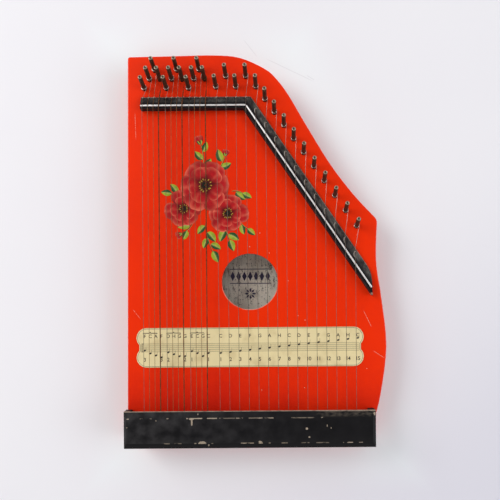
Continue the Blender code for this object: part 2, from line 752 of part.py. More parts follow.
def rod_ends():
    """The ends of the straight and the sloping rod, which meet in a mitre at the corner."""
    half_gap = SEAT_GAP / 2 / ACROSS.dot(BEND_WAY)
    straight = (
        Vector((FIRST_STRING_X - BRIDGE_BASS_END, STRAIGHT_ROD_Y)),
        ROD_CORNER - ACROSS * half_gap,
    )
    length = (LAST_STRING_X + ROD_TREBLE_END - ROD_CORNER.x) / SLOPE_WAY.x
    sloping = (ROD_CORNER + SLOPE_WAY * half_gap, ROD_CORNER + SLOPE_WAY * length)
    return straight, sloping


def build_top_bridge(parts, cutters, finish):
    """A straight and a sloping bar in one piece: steep towards the strings, falling to the pins."""
    treble_x = LAST_STRING_X + BRIDGE_TREBLE_END
    treble_y = rod_y(treble_x)
    straight = bridge_section(BRIDGE_STRING_SIDE, BRIDGE_PIN_SIDE, BRIDGE_LOW_EDGE)
    sloping = bridge_section(SLOPE_STRING_SIDE, SLOPE_PIN_SIDE, BRIDGE_LOW_EDGE)
    bass_end, bend, treble_end = [], [], []
    for (side, z), (slope_side, _) in zip(straight, sloping):
        y = STRAIGHT_ROD_Y + side
        bass_end.append((FIRST_STRING_X - BRIDGE_BASS_END, y, z))
        bend.append((ROD_CORNER.x + (slope_side - side * SLOPE_NORMAL.y) / SLOPE_NORMAL.x, y, z))
        treble_end.append((treble_x, treble_y + slope_side / SLOPE_NORMAL.y, z))
    bridge = add("top_bridge", lofted("top_bridge", [bass_end, bend, treble_end]), parts, finish)
    tip = Vector((treble_x, treble_y + SLOPE_PIN_SIDE / SLOPE_NORMAL.y))
    below = Vector((treble_x, treble_y))
    arc = rounded_corner(tip - SLOPE_WAY, tip, below, BRIDGE_TIP_ROUND, CORNER_STEPS)
    start, end = arc[0] * 2 - arc[1], arc[-1] * 2 - arc[-2]
    off = [start, *arc[1:-1], end, tip * 2 - arc[CORNER_STEPS // 2]]
    cut(bridge, plate("tip_round", off, BOARD_TOP, CREST_Z + BRIDGE_HEIGHT), cutters)


def build_tail_bridge(parts, wood, nickel):
    """The bridge under the cover, and its rod. It falls towards the hitch pins."""
    treble = Vector((LAST_STRING_X + TAIL_BRIDGE_END, TAIL_ROD_Y))
    bass = Vector((FIRST_STRING_X - TAIL_BRIDGE_END, TAIL_ROD_Y))
    section = bridge_section(TAIL_BRIDGE_FRONT, TAIL_BRIDGE_BACK, TAIL_BRIDGE_LOW_EDGE)
    add("tail_bridge", swept("tail_bridge", section, [treble, bass], [-ACROSS, -ACROSS]), parts, wood)
    rod = swept("tail_rod", rod_section(ROD_RADIUS), [treble, bass], [-ACROSS, -ACROSS])
    add("tail_rod", rod, parts, nickel)


# Tuning pins


def pin_mesh():
    """A round pin with four flats for the key and a small dimple in its end, lofted from rings."""
    top = PIN_ABOVE
    rings = (
        (PIN_RADIUS, -PIN_BELOW, PIN_RADIUS),
        (PIN_RADIUS, top - PIN_FLAT_LENGTH - PIN_FLAT_RUNOUT, PIN_RADIUS),
        (PIN_RADIUS, top - PIN_FLAT_LENGTH, PIN_FLAT),
        (PIN_RADIUS, top - PIN_CHAMFER, PIN_FLAT),
        (PIN_FLAT - PIN_CHAMFER, top, PIN_FLAT),
        (PIN_DIMPLE_RADIUS, top, PIN_FLAT),
    )
    angles = [2 * math.pi * k / PIN_SIDES for k in range(PIN_SIDES)]
    bm = bmesh.new()
    loops = []
    for radius, z, flat in rings:
        xs = np.clip(radius * np.cos(angles), -flat, flat)
        ys = np.clip(radius * np.sin(angles), -flat, flat)
        loops.append([bm.verts.new((x, y, z)) for x, y in zip(xs, ys)])
    for lower, upper in zip(loops, loops[1:]):
        for k in range(PIN_SIDES):
            after = (k + 1) % PIN_SIDES
            bm.faces.new((lower[k], lower[after], upper[after], upper[k]))
    bm.faces.new(list(reversed(loops[0])))
    dimple = bm.verts.new((0.0, 0.0, top - PIN_DIMPLE_DEPTH))
    for k in range(PIN_SIDES):
        bm.faces.new((loops[-1][k], loops[-1][(k + 1) % PIN_SIDES], dimple))
    mesh = mesh_from(bm, "tuning_pin")
    mesh.shade_smooth()
    mesh.set_sharp_from_angle(angle=math.radians(35))
    return mesh


def build_tuning_pins(parts, finish):
    """All tuning pins. Each has its origin where its axis passes the top of the soundboard."""
    mesh = pin_mesh()
    turn = Matrix((PIN_U, PIN_V, PIN_AXIS)).transposed().to_4x4()
    for number, place in enumerate(all_pins(), 1):
        pin = add(f"tuning_pin_{number:02d}", mesh, parts, finish)
        pin.matrix_world = Matrix.Translation(pin_base(place)) @ turn


# Strings


def winding(place, comes_from):
    """Points of the turns round a pin, from where a string that comes over the rod first touches them."""
    radius = (PIN_RADIUS + TURN_GAP + PLAIN_RADIUS) / math.cos(math.pi / CURL_POINTS)
    start = pin_base(place) + PIN_AXIS * WINDING_START
    reach = comes_from - start
    across, along = reach.dot(PIN_U), reach.dot(PIN_V)
    first = math.atan2(along, across) + math.acos(radius / math.hypot(across, along))
    points = []
    for k in range(int(WINDING_TURNS * CURL_POINTS) + 1):
        angle = first + 2 * math.pi * k / CURL_POINTS
        middle = start + PIN_AXIS * (WINDING_STEP * k / CURL_POINTS)
        points.append(middle + PIN_U * (radius * math.cos(angle)) + PIN_V * (radius * math.sin(angle)))
    return points


def over_rod(x, y, lift, target, normal):
    """Two points of a string over a rod: on its top, and where it leaves for a lower target."""
    top = Vector((x, y, ROD_Z + lift))
    way = Vector((target.x - x, target.y - y))
    distance = way.length
    way.normalize()
    crossing_share = abs(way.dot(normal))
    angle = math.atan2(top.z - target.z, distance * crossing_share)
    step = lift * math.sin(angle) / crossing_share
    leave = Vector((x + way.x * step, y + way.y * step, top.z - lift * (1 - math.cos(angle))))
    return top, leave


def hook(tail_x, place):
    """The end of a string: round its hitch pin from the treble side, ending beside it on the bass side."""
    radius = HITCH_RADIUS + SEAT_GAP + PLAIN_RADIUS
    z = BOARD_TOP + HITCH_WIRE_HEIGHT
    bends = [
        Vector((place.x + radius * math.cos(angle), place.y - radius * math.sin(angle), z))
        for angle in (math.pi * k / 4 for k in range(5))
    ]
    end = bends[-1] + Vector((0.0, HOOK_END, 0.0))
    return [end, *reversed(bends)]


def string_points(number, head_x, tail_x, wire, lift):
    """The route of one string and its radius at each point, from the hitch pin to the winding."""
    place = all_pins()[number]
    hitch = hitch_places()[number][1]
    ends = hook(tail_x, hitch)
    tail_top, tail_leave = over_rod(
        tail_x, TAIL_ROD_Y, ROD_RADIUS + SEAT_GAP + wire, ends[-1], Vector((0.0, 1.0))
    )
    y = rod_y(head_x)
    normal = SLOPE_NORMAL if head_x > ROD_CORNER.x else Vector((0.0, 1.0))
    turns = winding(place, Vector((head_x, y, ROD_Z + lift)))
    head_top, head_leave = over_rod(head_x, y, lift, turns[0], normal)
    route = [*ends, tail_leave, tail_top, head_top, head_leave, *turns]
    radii = [wire] * len(route)
    if wire > PLAIN_RADIUS:
        tail_taper = [ends[-1].lerp(tail_leave, share) for share in (0.4, 0.5)]
        head_taper = [head_leave.lerp(turns[0], share) for share in (0.5, 0.6)]
        route = [*ends, *tail_taper, tail_leave, tail_top, head_top, head_leave, *head_taper, *turns]
        radii = [PLAIN_RADIUS] * (len(ends) + 1) + [wire] * 6 + [PLAIN_RADIUS] * (len(turns) + 1)
    return route, radii


def wire_curve(name, points, radii):
    """A wire as a curve with a round section and closed ends."""
    curve = bpy.data.curves.new(name, "CURVE")
    curve.dimensions = "3D"
    curve.bevel_depth = PLAIN_RADIUS
    curve.bevel_resolution = 1
    curve.use_fill_caps = True
    spline = curve.splines.new("POLY")
    spline.points.add(len(points) - 1)
    for point, place, radius in zip(spline.points, points, radii):
        point.co = (*place, 1.0)
        point.radius = radius / PLAIN_RADIUS
    return curve


def least_gap(points, wire):
    """The smallest gap of a wire to itself, between points more than half a turn apart along it."""
    places = np.array([tuple(point) for point in points])
    apart = np.linalg.norm(places[:, None] - places[None], axis=2)
    steps = np.abs(np.subtract.outer(np.arange(len(places)), np.arange(len(places))))
    return apart[steps > CURL_POINTS // 2].min() - 2 * wire


def build_strings(parts, cutters, steel, bronze, nickel):
    """Melody and bass strings are pieces of their own. The plain chord strings stay on their rod."""
    clear = ROD_RADIUS + SEAT_GAP
    ends, _ = rod_ends()
    mesh = swept("chord_strings", rod_section(ROD_RADIUS), ends, [ACROSS, BEND_WAY])
    rod = add("chord_strings", mesh, parts, nickel)
    gaps = []
    number = 0
    for group in range(CHORD_GROUPS):
        for place in range(CHORD_STRINGS):
            x = chord_string_x(group, place)
            wound = place == CHORD_STRINGS - 1
            wire = WOUND_RADIUS if wound else PLAIN_RADIUS
            lift = clear + wire if wound else ROD_RADIUS + PLAIN_RADIUS - FUSE_DEPTH
            points, radii = string_points(number, x, x, wire, lift)
            gaps.append(least_gap(points, PLAIN_RADIUS))
            name = f"bass_string_{group + 1}" if wound else f"chord_string_{group + 1}_{place + 1}"
            curve = wire_curve(name, points, radii)
            if wound:
                add(name, curve, parts, bronze)
            else:
                fuse(rod, curve_as_mesh(curve, name), cutters)
            number += 1
    for index in range(MELODY_STRINGS):
        points, radii = string_points(
            number, melody_head_x(index), melody_tail_x(index), PLAIN_RADIUS, clear + PLAIN_RADIUS
        )
        gaps.append(least_gap(points, PLAIN_RADIUS))
        name = f"melody_string_{index + 1:02d}"
        add(name, wire_curve(name, points, radii), parts, steel)
        number += 1
    print(f"least gap of a string to itself: {min(gaps) / MM:.2f} mm")


def build_sloping_rod(parts, nickel):
    """The rod under the melody strings on the slope."""
    _, ends = rod_ends()
    mesh = swept("sloping_rod", rod_section(ROD_RADIUS), ends, [BEND_WAY, SLOPE_WAY])
    add("sloping_rod", mesh, parts, nickel)


# Note strip and cover


def build_note_strip(parts, finish):
    """A card whose ends have two round lobes each, with a notch between them."""
    low, high = FIRST_STRING_X - STRIP_MARGIN, LAST_STRING_X + STRIP_MARGIN
    middle = STRAIGHT_ROD_Y - STRIP_SHARE * STRING_LENGTH
    radius = STRIP_LOBE_RADIUS
    offset = STRIP_WIDTH / 2 - radius
    outline = []
    for end, way in ((high, 1.0), (low, -1.0)):
        for side in (way, -way):
            centre = Vector((end - way * radius, middle + side * offset))
            first, last = (90.0, -45.0) if side == way else (45.0, -90.0)
            for angle in np.radians(np.linspace(first, last, LOBE_STEPS)):
                outline.append(centre + Vector((math.cos(angle), math.sin(angle))) * way * radius)
    bottom = BOARD_TOP + SEAT_GAP
    add("note_strip", plate("note_strip", outline, bottom, bottom + STRIP_THICKNESS), parts, finish)


def cover_ends():
    low = bass_x(TAIL_Y) - COVER_BASS_OVERHANG
    high = EDGE[-1].x - COVER_TREBLE_INSET
    return low, high


def build_cover(parts, cutters, finish):
    """A lid over the tail: bevelled all round, hollow, open in front below its lip, on two dowels."""
    low, high = cover_ends()
    front, back = TAIL_ROD_Y + COVER_FRONT, TAIL_Y
    bottom, top = BOARD_TOP + SEAT_GAP, BOARD_TOP + SEAT_GAP + COVER_HEIGHT
    shoulder = top - COVER_BEVEL_DROP
    outline = [
        Vector((back, bottom)),
        Vector((front, bottom)),
        Vector((front, shoulder)),
        Vector((front - COVER_FRONT_BEVEL, top)),
        Vector((back + COVER_TAIL_BEVEL, top)),
        Vector((back, shoulder)),
    ]
    cover = add("hitch_pin_cover", bar("hitch_pin_cover", outline, low, high), parts, finish)
    reach = 4 * COVER_HEIGHT
    for name, x, way in (("bass_bevel", low, -1.0), ("treble_bevel", high, 1.0)):
        start = Vector((x - way * COVER_END_BEVEL, (front + back) / 2))
        across = Vector((way, 0.0))
        bevel = wedge(name, start, across, top, COVER_BEVEL_DROP, COVER_END_BEVEL, reach)
        cut(cover, bevel, cutters)
    mouth_top = shoulder - COVER_LIP
    hollow = [
        Vector((back + COVER_WALL, bottom - COVER_WALL)),
        Vector((front + COVER_WALL, bottom - COVER_WALL)),
        Vector((front + COVER_WALL, mouth_top)),
        Vector((front - COVER_FRONT_BEVEL, mouth_top)),
        Vector((front - COVER_FRONT_BEVEL, top - COVER_ROOF)),
        Vector((back + COVER_WALL, top - COVER_ROOF)),
    ]
    cut(cover, bar("cover_hollow", hollow, low + COVER_END_WALL, high - COVER_END_WALL), cutters)
    length = DOWEL_LENGTH + COVER_HEIGHT / 4
    dowels = [(Vector((*place, bottom - DOWEL_LENGTH)), UP, length) for place in dowel_places()]
    fuse(cover, cylinders("dowels", dowels, DOWEL_RADIUS, DOWEL_SIDES), cutters)
    middle = Vector(((low + high) / 2, (front + back) / 2, bottom))
    cover.data.transform(Matrix.Translation(-middle))
    cover.location = middle


def main():
    for old in list(bpy.data.objects):
        bpy.data.objects.remove(old)
    parts = collection("chord_zither")
    cutters = collection("cutters", hidden=True)
    red = material("red_lacquer", (0.75, 0.035, 0.012), 0.35)
    wood = material("bare_wood", (0.45, 0.30, 0.16), 0.7)
    black = material("black_paint", (0.02, 0.02, 0.022), 0.45)
    nickel = material("nickel", (0.75, 0.74, 0.70), 0.2, 1.0)
    dark_steel = material("pin_steel", (0.16, 0.11, 0.08), 0.45, 1.0)
    steel = material("string_steel", (0.55, 0.52, 0.47), 0.3, 1.0)
    bronze = material("wound_wire", (0.42, 0.28, 0.14), 0.4, 1.0)
    card = material("note_card", (0.78, 0.68, 0.42), 0.6)

    holes = pin_hole_cutter(cutters)
    build_back(parts, red)
    build_sides(parts, red)
    build_pin_block(parts, holes, red)
    build_tail_block(parts, cutters, red)
    build_braces(parts, wood)
    build_soundboard(parts, cutters, holes, red)
    build_top_bridge(parts, cutters, black)
    build_tail_bridge(parts, wood, nickel)
    build_sloping_rod(parts, nickel)
    build_tuning_pins(parts, dark_steel)
    build_strings(parts, cutters, steel, bronze, nickel)
    build_note_strip(parts, card)
    build_cover(parts, cutters, black)


main()
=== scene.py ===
"""Looks of an old red chord zither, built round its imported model.

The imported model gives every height, the rods and the joint axes of the tuning pins. StringPlan
repeats the few sizes that set where each string runs. Lengths are in metres; the picture of the
camera is 500 by 500 points.
"""

import json
import logging
import math
from collections.abc import Sequence
from dataclasses import dataclass, field, replace
from enum import Enum

import bmesh
import bpy
import numpy as np
from mathutils import Matrix, Vector


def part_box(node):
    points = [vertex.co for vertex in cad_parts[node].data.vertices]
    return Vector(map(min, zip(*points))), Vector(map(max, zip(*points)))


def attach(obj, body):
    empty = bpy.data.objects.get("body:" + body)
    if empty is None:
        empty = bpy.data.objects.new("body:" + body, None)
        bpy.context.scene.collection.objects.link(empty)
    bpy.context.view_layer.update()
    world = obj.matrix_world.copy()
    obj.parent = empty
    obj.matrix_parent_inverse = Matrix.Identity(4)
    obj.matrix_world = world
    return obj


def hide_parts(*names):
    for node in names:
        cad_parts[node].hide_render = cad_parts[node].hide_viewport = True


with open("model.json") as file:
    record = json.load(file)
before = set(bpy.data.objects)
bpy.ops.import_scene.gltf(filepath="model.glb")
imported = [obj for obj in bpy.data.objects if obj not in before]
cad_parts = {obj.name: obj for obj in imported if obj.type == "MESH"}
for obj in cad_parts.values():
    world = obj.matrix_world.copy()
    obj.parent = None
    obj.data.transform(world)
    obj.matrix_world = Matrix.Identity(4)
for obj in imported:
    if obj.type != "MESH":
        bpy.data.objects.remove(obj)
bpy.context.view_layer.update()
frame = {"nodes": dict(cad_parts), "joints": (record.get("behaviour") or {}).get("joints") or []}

MM = 0.001
BODY = "zither_body"
COVER = "hitch_pin_cover"
SAME_PLACE = 0.002 * MM
LEVEL_ANGLE = math.radians(0.2)
SMOOTH_UP_TO = math.radians(38)
ARRIS_FROM = math.radians(28)
WHITE = (1.0, 1.0, 1.0)
LOG = logging.getLogger("zither")
Material = bpy.types.Material
Mesh = bpy.types.Mesh
Socket = bpy.types.NodeSocket
Colour = tuple[float, float, float]
Span = tuple[float, float, float]
Settings = dict[str, object]
Sockets = dict[str | int, object]


# Shader maths


class Value:
    """A number in a shader. Python's operators on it add Math nodes."""

    def __init__(self, nodes: "Nodes", socket: Socket) -> None:
        """Wraps a socket of a node tree."""
        self.nodes = nodes
        self.socket = socket

    def __add__(self, other: "Value | float") -> "Value":
        """Sum."""
        return self.nodes.maths("ADD", self, other)

    def __radd__(self, other: float) -> "Value":
        """Sum, reflected."""
        return self.nodes.maths("ADD", other, self)

    def __sub__(self, other: "Value | float") -> "Value":
        """Difference."""
        return self.nodes.maths("SUBTRACT", self, other)

    def __rsub__(self, other: float) -> "Value":
        """Difference, reflected."""
        return self.nodes.maths("SUBTRACT", other, self)

    def __mul__(self, other: "Value | float") -> "Value":
        """Product."""
        return self.nodes.maths("MULTIPLY", self, other)

    def __rmul__(self, other: float) -> "Value":
        """Product, reflected."""
        return self.nodes.maths("MULTIPLY", other, self)

    def __truediv__(self, other: "Value | float") -> "Value":
        """Quotient."""
        return self.nodes.maths("DIVIDE", self, other)

    def __pow__(self, other: float) -> "Value":
        """Power."""
        return self.nodes.maths("POWER", self, other)

    def __abs__(self) -> "Value":
        """Size without its sign."""
        return self.nodes.maths("ABSOLUTE", self)

    def least(self, other: "Value | float") -> "Value":
        """The smaller of two."""
        return self.nodes.maths("MINIMUM", self, other)

    def most(self, other: "Value | float") -> "Value":
        """The larger of two."""
        return self.nodes.maths("MAXIMUM", self, other)

    def sine(self) -> "Value":
        """Sine of radians."""
        return self.nodes.maths("SINE", self)

    def step(self, low: float, high: float) -> "Value":
        """A smooth step from 0 at low to 1 at high, or down if low is the larger.

        Args:
            low, high: where the step is 0 and 1.

        Returns:
            The step.
        """
        sockets = {"Value": self, "From Min": low, "From Max": high}
        node = self.nodes.node("ShaderNodeMapRange", {"interpolation_type": "SMOOTHSTEP"}, sockets)
        return Value(self.nodes, node.outputs["Result"])


class Nodes:
    """The node tree of a material or of the world."""

    def __init__(self, tree: bpy.types.NodeTree) -> None:
        """Takes a tree over and empties it."""
        self.tree = tree
        self.tree.nodes.clear()

    def node(
        self, kind: str, settings: Settings | None = None, sockets: Sockets | None = None
    ) -> bpy.types.Node:
        """Adds a node.

        Args:
            kind: the node's type.
            settings: its properties, set first. The key stops sets a ramp's places and colours.
            sockets: values, Values or sockets for its inputs, by name or number.

        Returns:
            The node.
        """
        made = self.tree.nodes.new(kind)
        for key, value in (settings or {}).items():
            if key == "stops":
                self.set_stops(made.color_ramp, value)
            else:
                setattr(made, key, value)
        for key, value in (sockets or {}).items():
            self.plug(made.inputs[key], value)
        return made

    @staticmethod
    def set_stops(ramp: bpy.types.ColorRamp, stops: Sequence[tuple[float, Colour]]) -> None:
        """Gives a colour ramp its stops.

        Args:
            ramp: the ramp.
            stops: a place from 0 to 1 and a colour for each.
        """
        while len(ramp.elements) < len(stops):
            ramp.elements.new(1.0)
        for element, (place, colour) in zip(ramp.elements, stops):
            element.position = place
            element.color = (*colour, 1.0)

    def plug(self, socket: Socket, value: object) -> None:
        """Links a Value or a socket to an input, or sets the input to a plain value.

        Args:
            socket: the input.
            value: what goes into it.
        """
        if isinstance(value, Value):
            self.tree.links.new(value.socket, socket)
        elif isinstance(value, Socket):
            self.tree.links.new(value, socket)
        elif isinstance(value, tuple) and len(value) == 3 and socket.type == "RGBA":
            socket.default_value = (*value, 1.0)
        else:
            socket.default_value = value

    def maths(self, operation: str, *values: "Value | float") -> Value:
        """A Math node on one, two or three values."""
        sockets = dict(enumerate(values))
        return Value(self, self.node("ShaderNodeMath", {"operation": operation}, sockets).outputs["Value"])


class Paint(Nodes):
    """The nodes of one material, with a Principled shader."""

    def __init__(self, name: str) -> None:
        """Makes an empty material of that name.

        Args:
            name: the material's name.
        """
        self.material = bpy.data.materials.new(name)
        self.material.use_nodes = True
        super().__init__(self.material.node_tree)
        self.shader = self.node("ShaderNodeBsdfPrincipled")
        self.node("ShaderNodeOutputMaterial", sockets={"Surface": self.shader.outputs["BSDF"]})
        self.place = self.node("ShaderNodeTexCoord").outputs["Object"]
        parts = self.node("ShaderNodeSeparateXYZ", sockets={"Vector": self.place})
        self.x, self.y, self.z = (Value(self, parts.outputs[axis]) for axis in "XYZ")

    def stretched(self, along_x: float, along_y: float, along_z: float) -> Socket:
        """Object coordinates multiplied along each axis."""
        sockets = {0: self.place, 1: (along_x, along_y, along_z)}
        return self.node("ShaderNodeVectorMath", {"operation": "MULTIPLY"}, sockets).outputs["Vector"]

    def noise(self, size: float, detail: float = 3.0, place: object = None, offset: float = 0.0) -> Value:
        """Smooth noise from 0 to 1.

        Args:
            size: rough width of one spot, in metres.
            detail: how many finer layers it has.
            place: the coordinates it reads, or None for Object coordinates.
            offset: a shift that makes it differ from other noise.

        Returns:
            The noise.
        """
        sockets = {"Vector": place or self.place, "W": offset, "Scale": 1 / size, "Detail": detail}
        node = self.node("ShaderNodeTexNoise", {"noise_dimensions": "4D"}, sockets)
        return Value(self, node.outputs["Fac"])

    def attribute(self, name: str) -> bpy.types.Node:
        """The node of a mesh attribute."""
        return self.node("ShaderNodeAttribute", {"attribute_name": name})

    def mix(self, mask: "Value | float", below: object, above: object) -> Socket:
        """One colour over another where the mask is 1."""
        sockets = {"Factor": mask, 6: below, 7: above}
        return self.node("ShaderNodeMix", {"data_type": "RGBA"}, sockets).outputs[2]

    def blob(self, x: float, y: float, across: float, along: float, ragged: Value) -> Value:
        """1 inside a ragged spot on a level face, and 0 outside it.

        Args:
            x, y: the spot's middle.
            across, along: its half widths in X and Y.
            ragged: what its rim is pushed in or out by, as a share.

        Returns:
            The mask.
        """
        reach_x = (self.x - x) / across
        reach_y = (self.y - y) / along
        reach = (reach_x * reach_x + reach_y * reach_y) ** 0.5
        return (reach + ragged).step(1.05, 0.9)

    def scratch(self, start: Sequence[float], end: Sequence[float], width: float) -> Value:
        """1 along a thin line between two places, fading at its ends.

        Args:
            start, end: X and Y of its ends.
            width: the line's half width.

        Returns:
            The mask.
        """
        way = Vector(end) - Vector(start)
        length = way.length
        way.normalize()
        along = (self.x - start[0]) * way.x + (self.y - start[1]) * way.y
        across = abs((self.x - start[0]) * -way.y + (self.y - start[1]) * way.x)
        inside = along.step(0.0, length * 0.2) * along.step(length, length * 0.8)
        return across.step(width, width * 0.3) * inside

    def bump(self, height: Value, depth: float) -> Socket:
        """A normal from a height of 0 to 1 that stands for a depth in metres."""
        sockets = {"Strength": 1.0, "Distance": depth, "Height": height}
        return self.node("ShaderNodeBump", sockets=sockets).outputs["Normal"]

    def done(self, sockets: dict[str, object]) -> Material:
        """Sets the shader's sockets and hands the material over.

        Args:
            sockets: values, Values or sockets by the input's name.

        Returns:
            The material.
        """
        for key, value in sockets.items():
            self.plug(self.shader.inputs[key], value)
        return self.material


# Finishes


@dataclass(frozen=True)
class SoundHole:
    """Where the soundhole is and how large."""

    x: float = -7.1 * MM
    y: float = -38.0 * MM
    radius: float = 33.6 * MM


@dataclass(frozen=True)
class RedLacquer:
    """Old glossy red lacquer, with specks, scratches, rubbed edges and bare wood on the inside, and with
    painted shade and painted highlights.
    """

    bright: Colour = (0.88, 0.030, 0.0015)
    deep: Colour = (0.58, 0.012, 0.004)
    rubbed: Colour = (0.80, 0.15, 0.09)
    bare: Colour = (0.42, 0.27, 0.16)
    chip: Colour = (0.70, 0.55, 0.42)
    specks: tuple[tuple[float, float], ...] = (
        (5.3, 20.1), (-7.0, 3.8), (16.4, -3.9), (38.8, -37.5), (50.4, -79.5), (58.7, -84.9),
        (6.2, -168.3), (57.6, -165.9), (132.4, -143.4),
    )
    scratches: tuple[tuple[tuple[float, float], tuple[float, float]], ...] = (
        ((128.2, -72.3), (139.1, -95.1)), ((139.1, -121.5), (155.0, -131.9)),
        ((-143.5, 167.7), (-142.5, 131.7)), ((-148.0, -70.0), (-138.0, -83.0)),
    )
    speck_half: tuple[float, float] = (0.55 * MM, 0.5 * MM)
    scratch_half: float = 0.35 * MM
    coat: float = 0.1
    specular: float = 0.13

    def make(self, inside_low: float, inside_high: float, top: float, hole: SoundHole) -> Material:
        """Makes the material.

        Args:
            inside_low, inside_high: the inner faces of the back board and the soundboard.
            top: the soundboard's outer face.
            hole: the soundhole, worn along its lower rim and lightened there by a painted highlight.

        Returns:
            The material.
        """
        paint = Paint("red_lacquer")
        cloud = paint.noise(70 * MM, 2.0)
        mottle = paint.noise(7 * MM, 4.0, offset=3.0)
        fine = paint.noise(0.8 * MM, 2.0, offset=5.0)
        # Painted shade: darker towards the tail, where the cover casts its shadow, and beside the chord
        # strings, where their shadows fall, partly stain.
        tail_shade = paint.y.step(-0.10, -0.20) * 0.45
        string_shadow_and_stain = paint.x.step(-0.135, -0.10) * paint.x.step(0.01, -0.03) * cloud.step(0.35, 0.6) * 0.25
        shade = ((1 - cloud) * 0.6 + mottle * 0.3 + tail_shade + string_shadow_and_stain - 0.30).step(0.0, 1.0)
        # Painted shade: the sides are a deeper red than the top, which also dims the red light they throw on
        # the floor.
        on_side = paint.z.step(top - 2.5 * MM, top - 4.0 * MM)
        colour = paint.mix(shade.most(on_side * 0.75), self.bright, self.deep)
        # The rounded top edge is paler: rubbed lacquer, and a painted highlight along the rounding.
        edge = paint.z.step(top - 0.15 * MM, top - 1.6 * MM) * paint.z.step(top - 3.0 * MM, top - 2.2 * MM)
        colour = paint.mix(edge * (mottle.step(0.35, 0.6) * 0.5 + 0.15), colour, self.rubbed)
        # Along the soundhole's lower rim: worn lacquer, and a painted highlight of the lit wall of the hole.
        out_x, out_y = paint.x - hole.x, paint.y - hole.y
        reach = (out_x * out_x + out_y * out_y) ** 0.5
        rim = reach.step(hole.radius + 0.9 * MM, hole.radius + 0.3 * MM) * out_y.step(0.0, -14 * MM)
        marks = rim * mottle.step(0.35, 0.55) * 0.55
        for x, y in self.specks:
            marks = marks.most(paint.blob(x * MM, y * MM, *self.speck_half, fine * 0.4))
        for start, end in self.scratches:
            line = paint.scratch(Vector(start) * MM, Vector(end) * MM, self.scratch_half)
            marks = marks.most(line * fine.step(0.35, 0.6) * 0.7)
        on_top = paint.z.step(top - 0.3 * MM, top - 0.1 * MM)
        colour = paint.mix(marks * on_top, colour, self.chip)
        grain = paint.noise(2 * MM, 4.0, paint.stretched(1.0, 0.04, 1.0))
        wood = paint.mix(grain, self.bare, tuple(0.55 * part for part in self.bare))
        inside = paint.z.step(inside_low - 0.5 * MM, inside_low - 0.05 * MM)
        inside = inside * paint.z.step(inside_high + 0.9 * MM, inside_high + 0.3 * MM)
        face = paint.node("ShaderNodeNewGeometry").outputs["Normal"]
        level = Value(paint, paint.node("ShaderNodeSeparateXYZ", sockets={0: face}).outputs["Z"])
        flat = abs(level).step(0.5, 0.8)
        bare = inside * flat
        ripple = paint.noise(3 * MM, 3.0, paint.stretched(1.0, 0.25, 1.0), 7.0)
        return paint.done(
            {
                "Base Color": paint.mix(bare, colour, wood),
                "Roughness": (mottle * 0.16 + 0.27 + marks * 0.3).most(bare * 0.75),
                "Coat Weight": (1 - bare) * self.coat,
                "Coat Roughness": 0.12,
                "Specular IOR Level": self.specular,
                "Normal": paint.bump(ripple * 0.6 + fine * 0.12 - marks * 0.5, 0.06 * MM),
            }
        )


@dataclass(frozen=True)
class BareWood:
    """Plain wood with grain along X."""

    name: str
    light: Colour = (0.50, 0.33, 0.19)
    dark: Colour = (0.26, 0.15, 0.08)

    def make(self) -> Material:
        """Makes the material.

        Returns:
            The material.
        """
        paint = Paint(self.name)
        way = paint.stretched(0.06, 1.0, 1.0)
        grain = paint.noise(1.6 * MM, 5.0, way)
        bands = paint.noise(9 * MM, 2.0, way, 4.0)
        colour = paint.mix((grain * 0.6 + bands * 0.5).step(0.25, 0.85), self.light, self.dark)
        normal = paint.bump(grain, 0.05 * MM)
        return paint.done({"Base Color": colour, "Roughness": grain * 0.2 + 0.6, "Normal": normal})


@dataclass(frozen=True)
class NotchRim:
    """Pale rims round the strings' notches: pale on the straight leg of the bridge, grey on the sloping one.
    """

    pale: Colour = (0.66, 0.50, 0.42)
    grey: Colour = (0.46, 0.40, 0.35)

    def make(self, straight_y: float) -> Material:
        """Makes the material for a bridge whose straight leg lies at a level of Y.

        Args:
            straight_y: Y of the straight leg's rod.

        Returns:
            The material.
        """
        paint = Paint("notch_rim")
        rubbed = paint.noise(0.8 * MM, 3.0)
        on_straight = paint.y.step(straight_y + 7 * MM, straight_y + 8 * MM)
        colour = paint.mix(on_straight, self.grey, self.pale)
        colour = paint.mix(rubbed.step(0.5, 0.8) * 0.6, colour, tuple(0.3 * part for part in self.grey))
        return paint.done({"Base Color": colour, "Roughness": rubbed * 0.2 + 0.5})


@dataclass(frozen=True)
class BlackPaint:
    """Old black paint on wood. Lines of wear run along the arrises, given by their height or Y."""

    name: str
    paint_colour: Colour = (0.0055, 0.005, 0.006)
    # Grey of dust, and of painted sheen.
    dust_and_sheen_grey: Colour = (0.034, 0.032, 0.034)
    wood: Colour = (0.52, 0.42, 0.32)
    gloss: float = 0.42

    def colours(self, paint: Paint, wear: Value, dust_and_sheen: Value | float = 0.6) -> dict[str, object]:
        """The sockets of the finish.

        Args:
            paint: the material's nodes.
            wear: 1 where the paint is worn down to the wood.
            dust_and_sheen: how grey the paint is, from 0 to 1, by dust and by painted sheen.

        Returns:
            Values for the shader's sockets.
        """
        haze = paint.noise(14 * MM, 4.0)
        fine = paint.noise(0.9 * MM, 3.0, offset=2.0)
        black = paint.mix(haze.step(0.30, 0.75) * dust_and_sheen, self.paint_colour, self.dust_and_sheen_grey)
        wood = paint.mix(fine, self.wood, tuple(0.6 * part for part in self.wood))
        return {
            "Base Color": paint.mix(wear, black, wood),
            "Roughness": haze * 0.22 + self.gloss + wear * 0.3,
            "Coat Weight": (1 - wear) * 0.03,
            "Coat Roughness": 0.2,
            "Specular IOR Level": 0.12,
            "Normal": paint.bump(fine * 0.5 + haze - wear * 0.8, 0.07 * MM),
        }


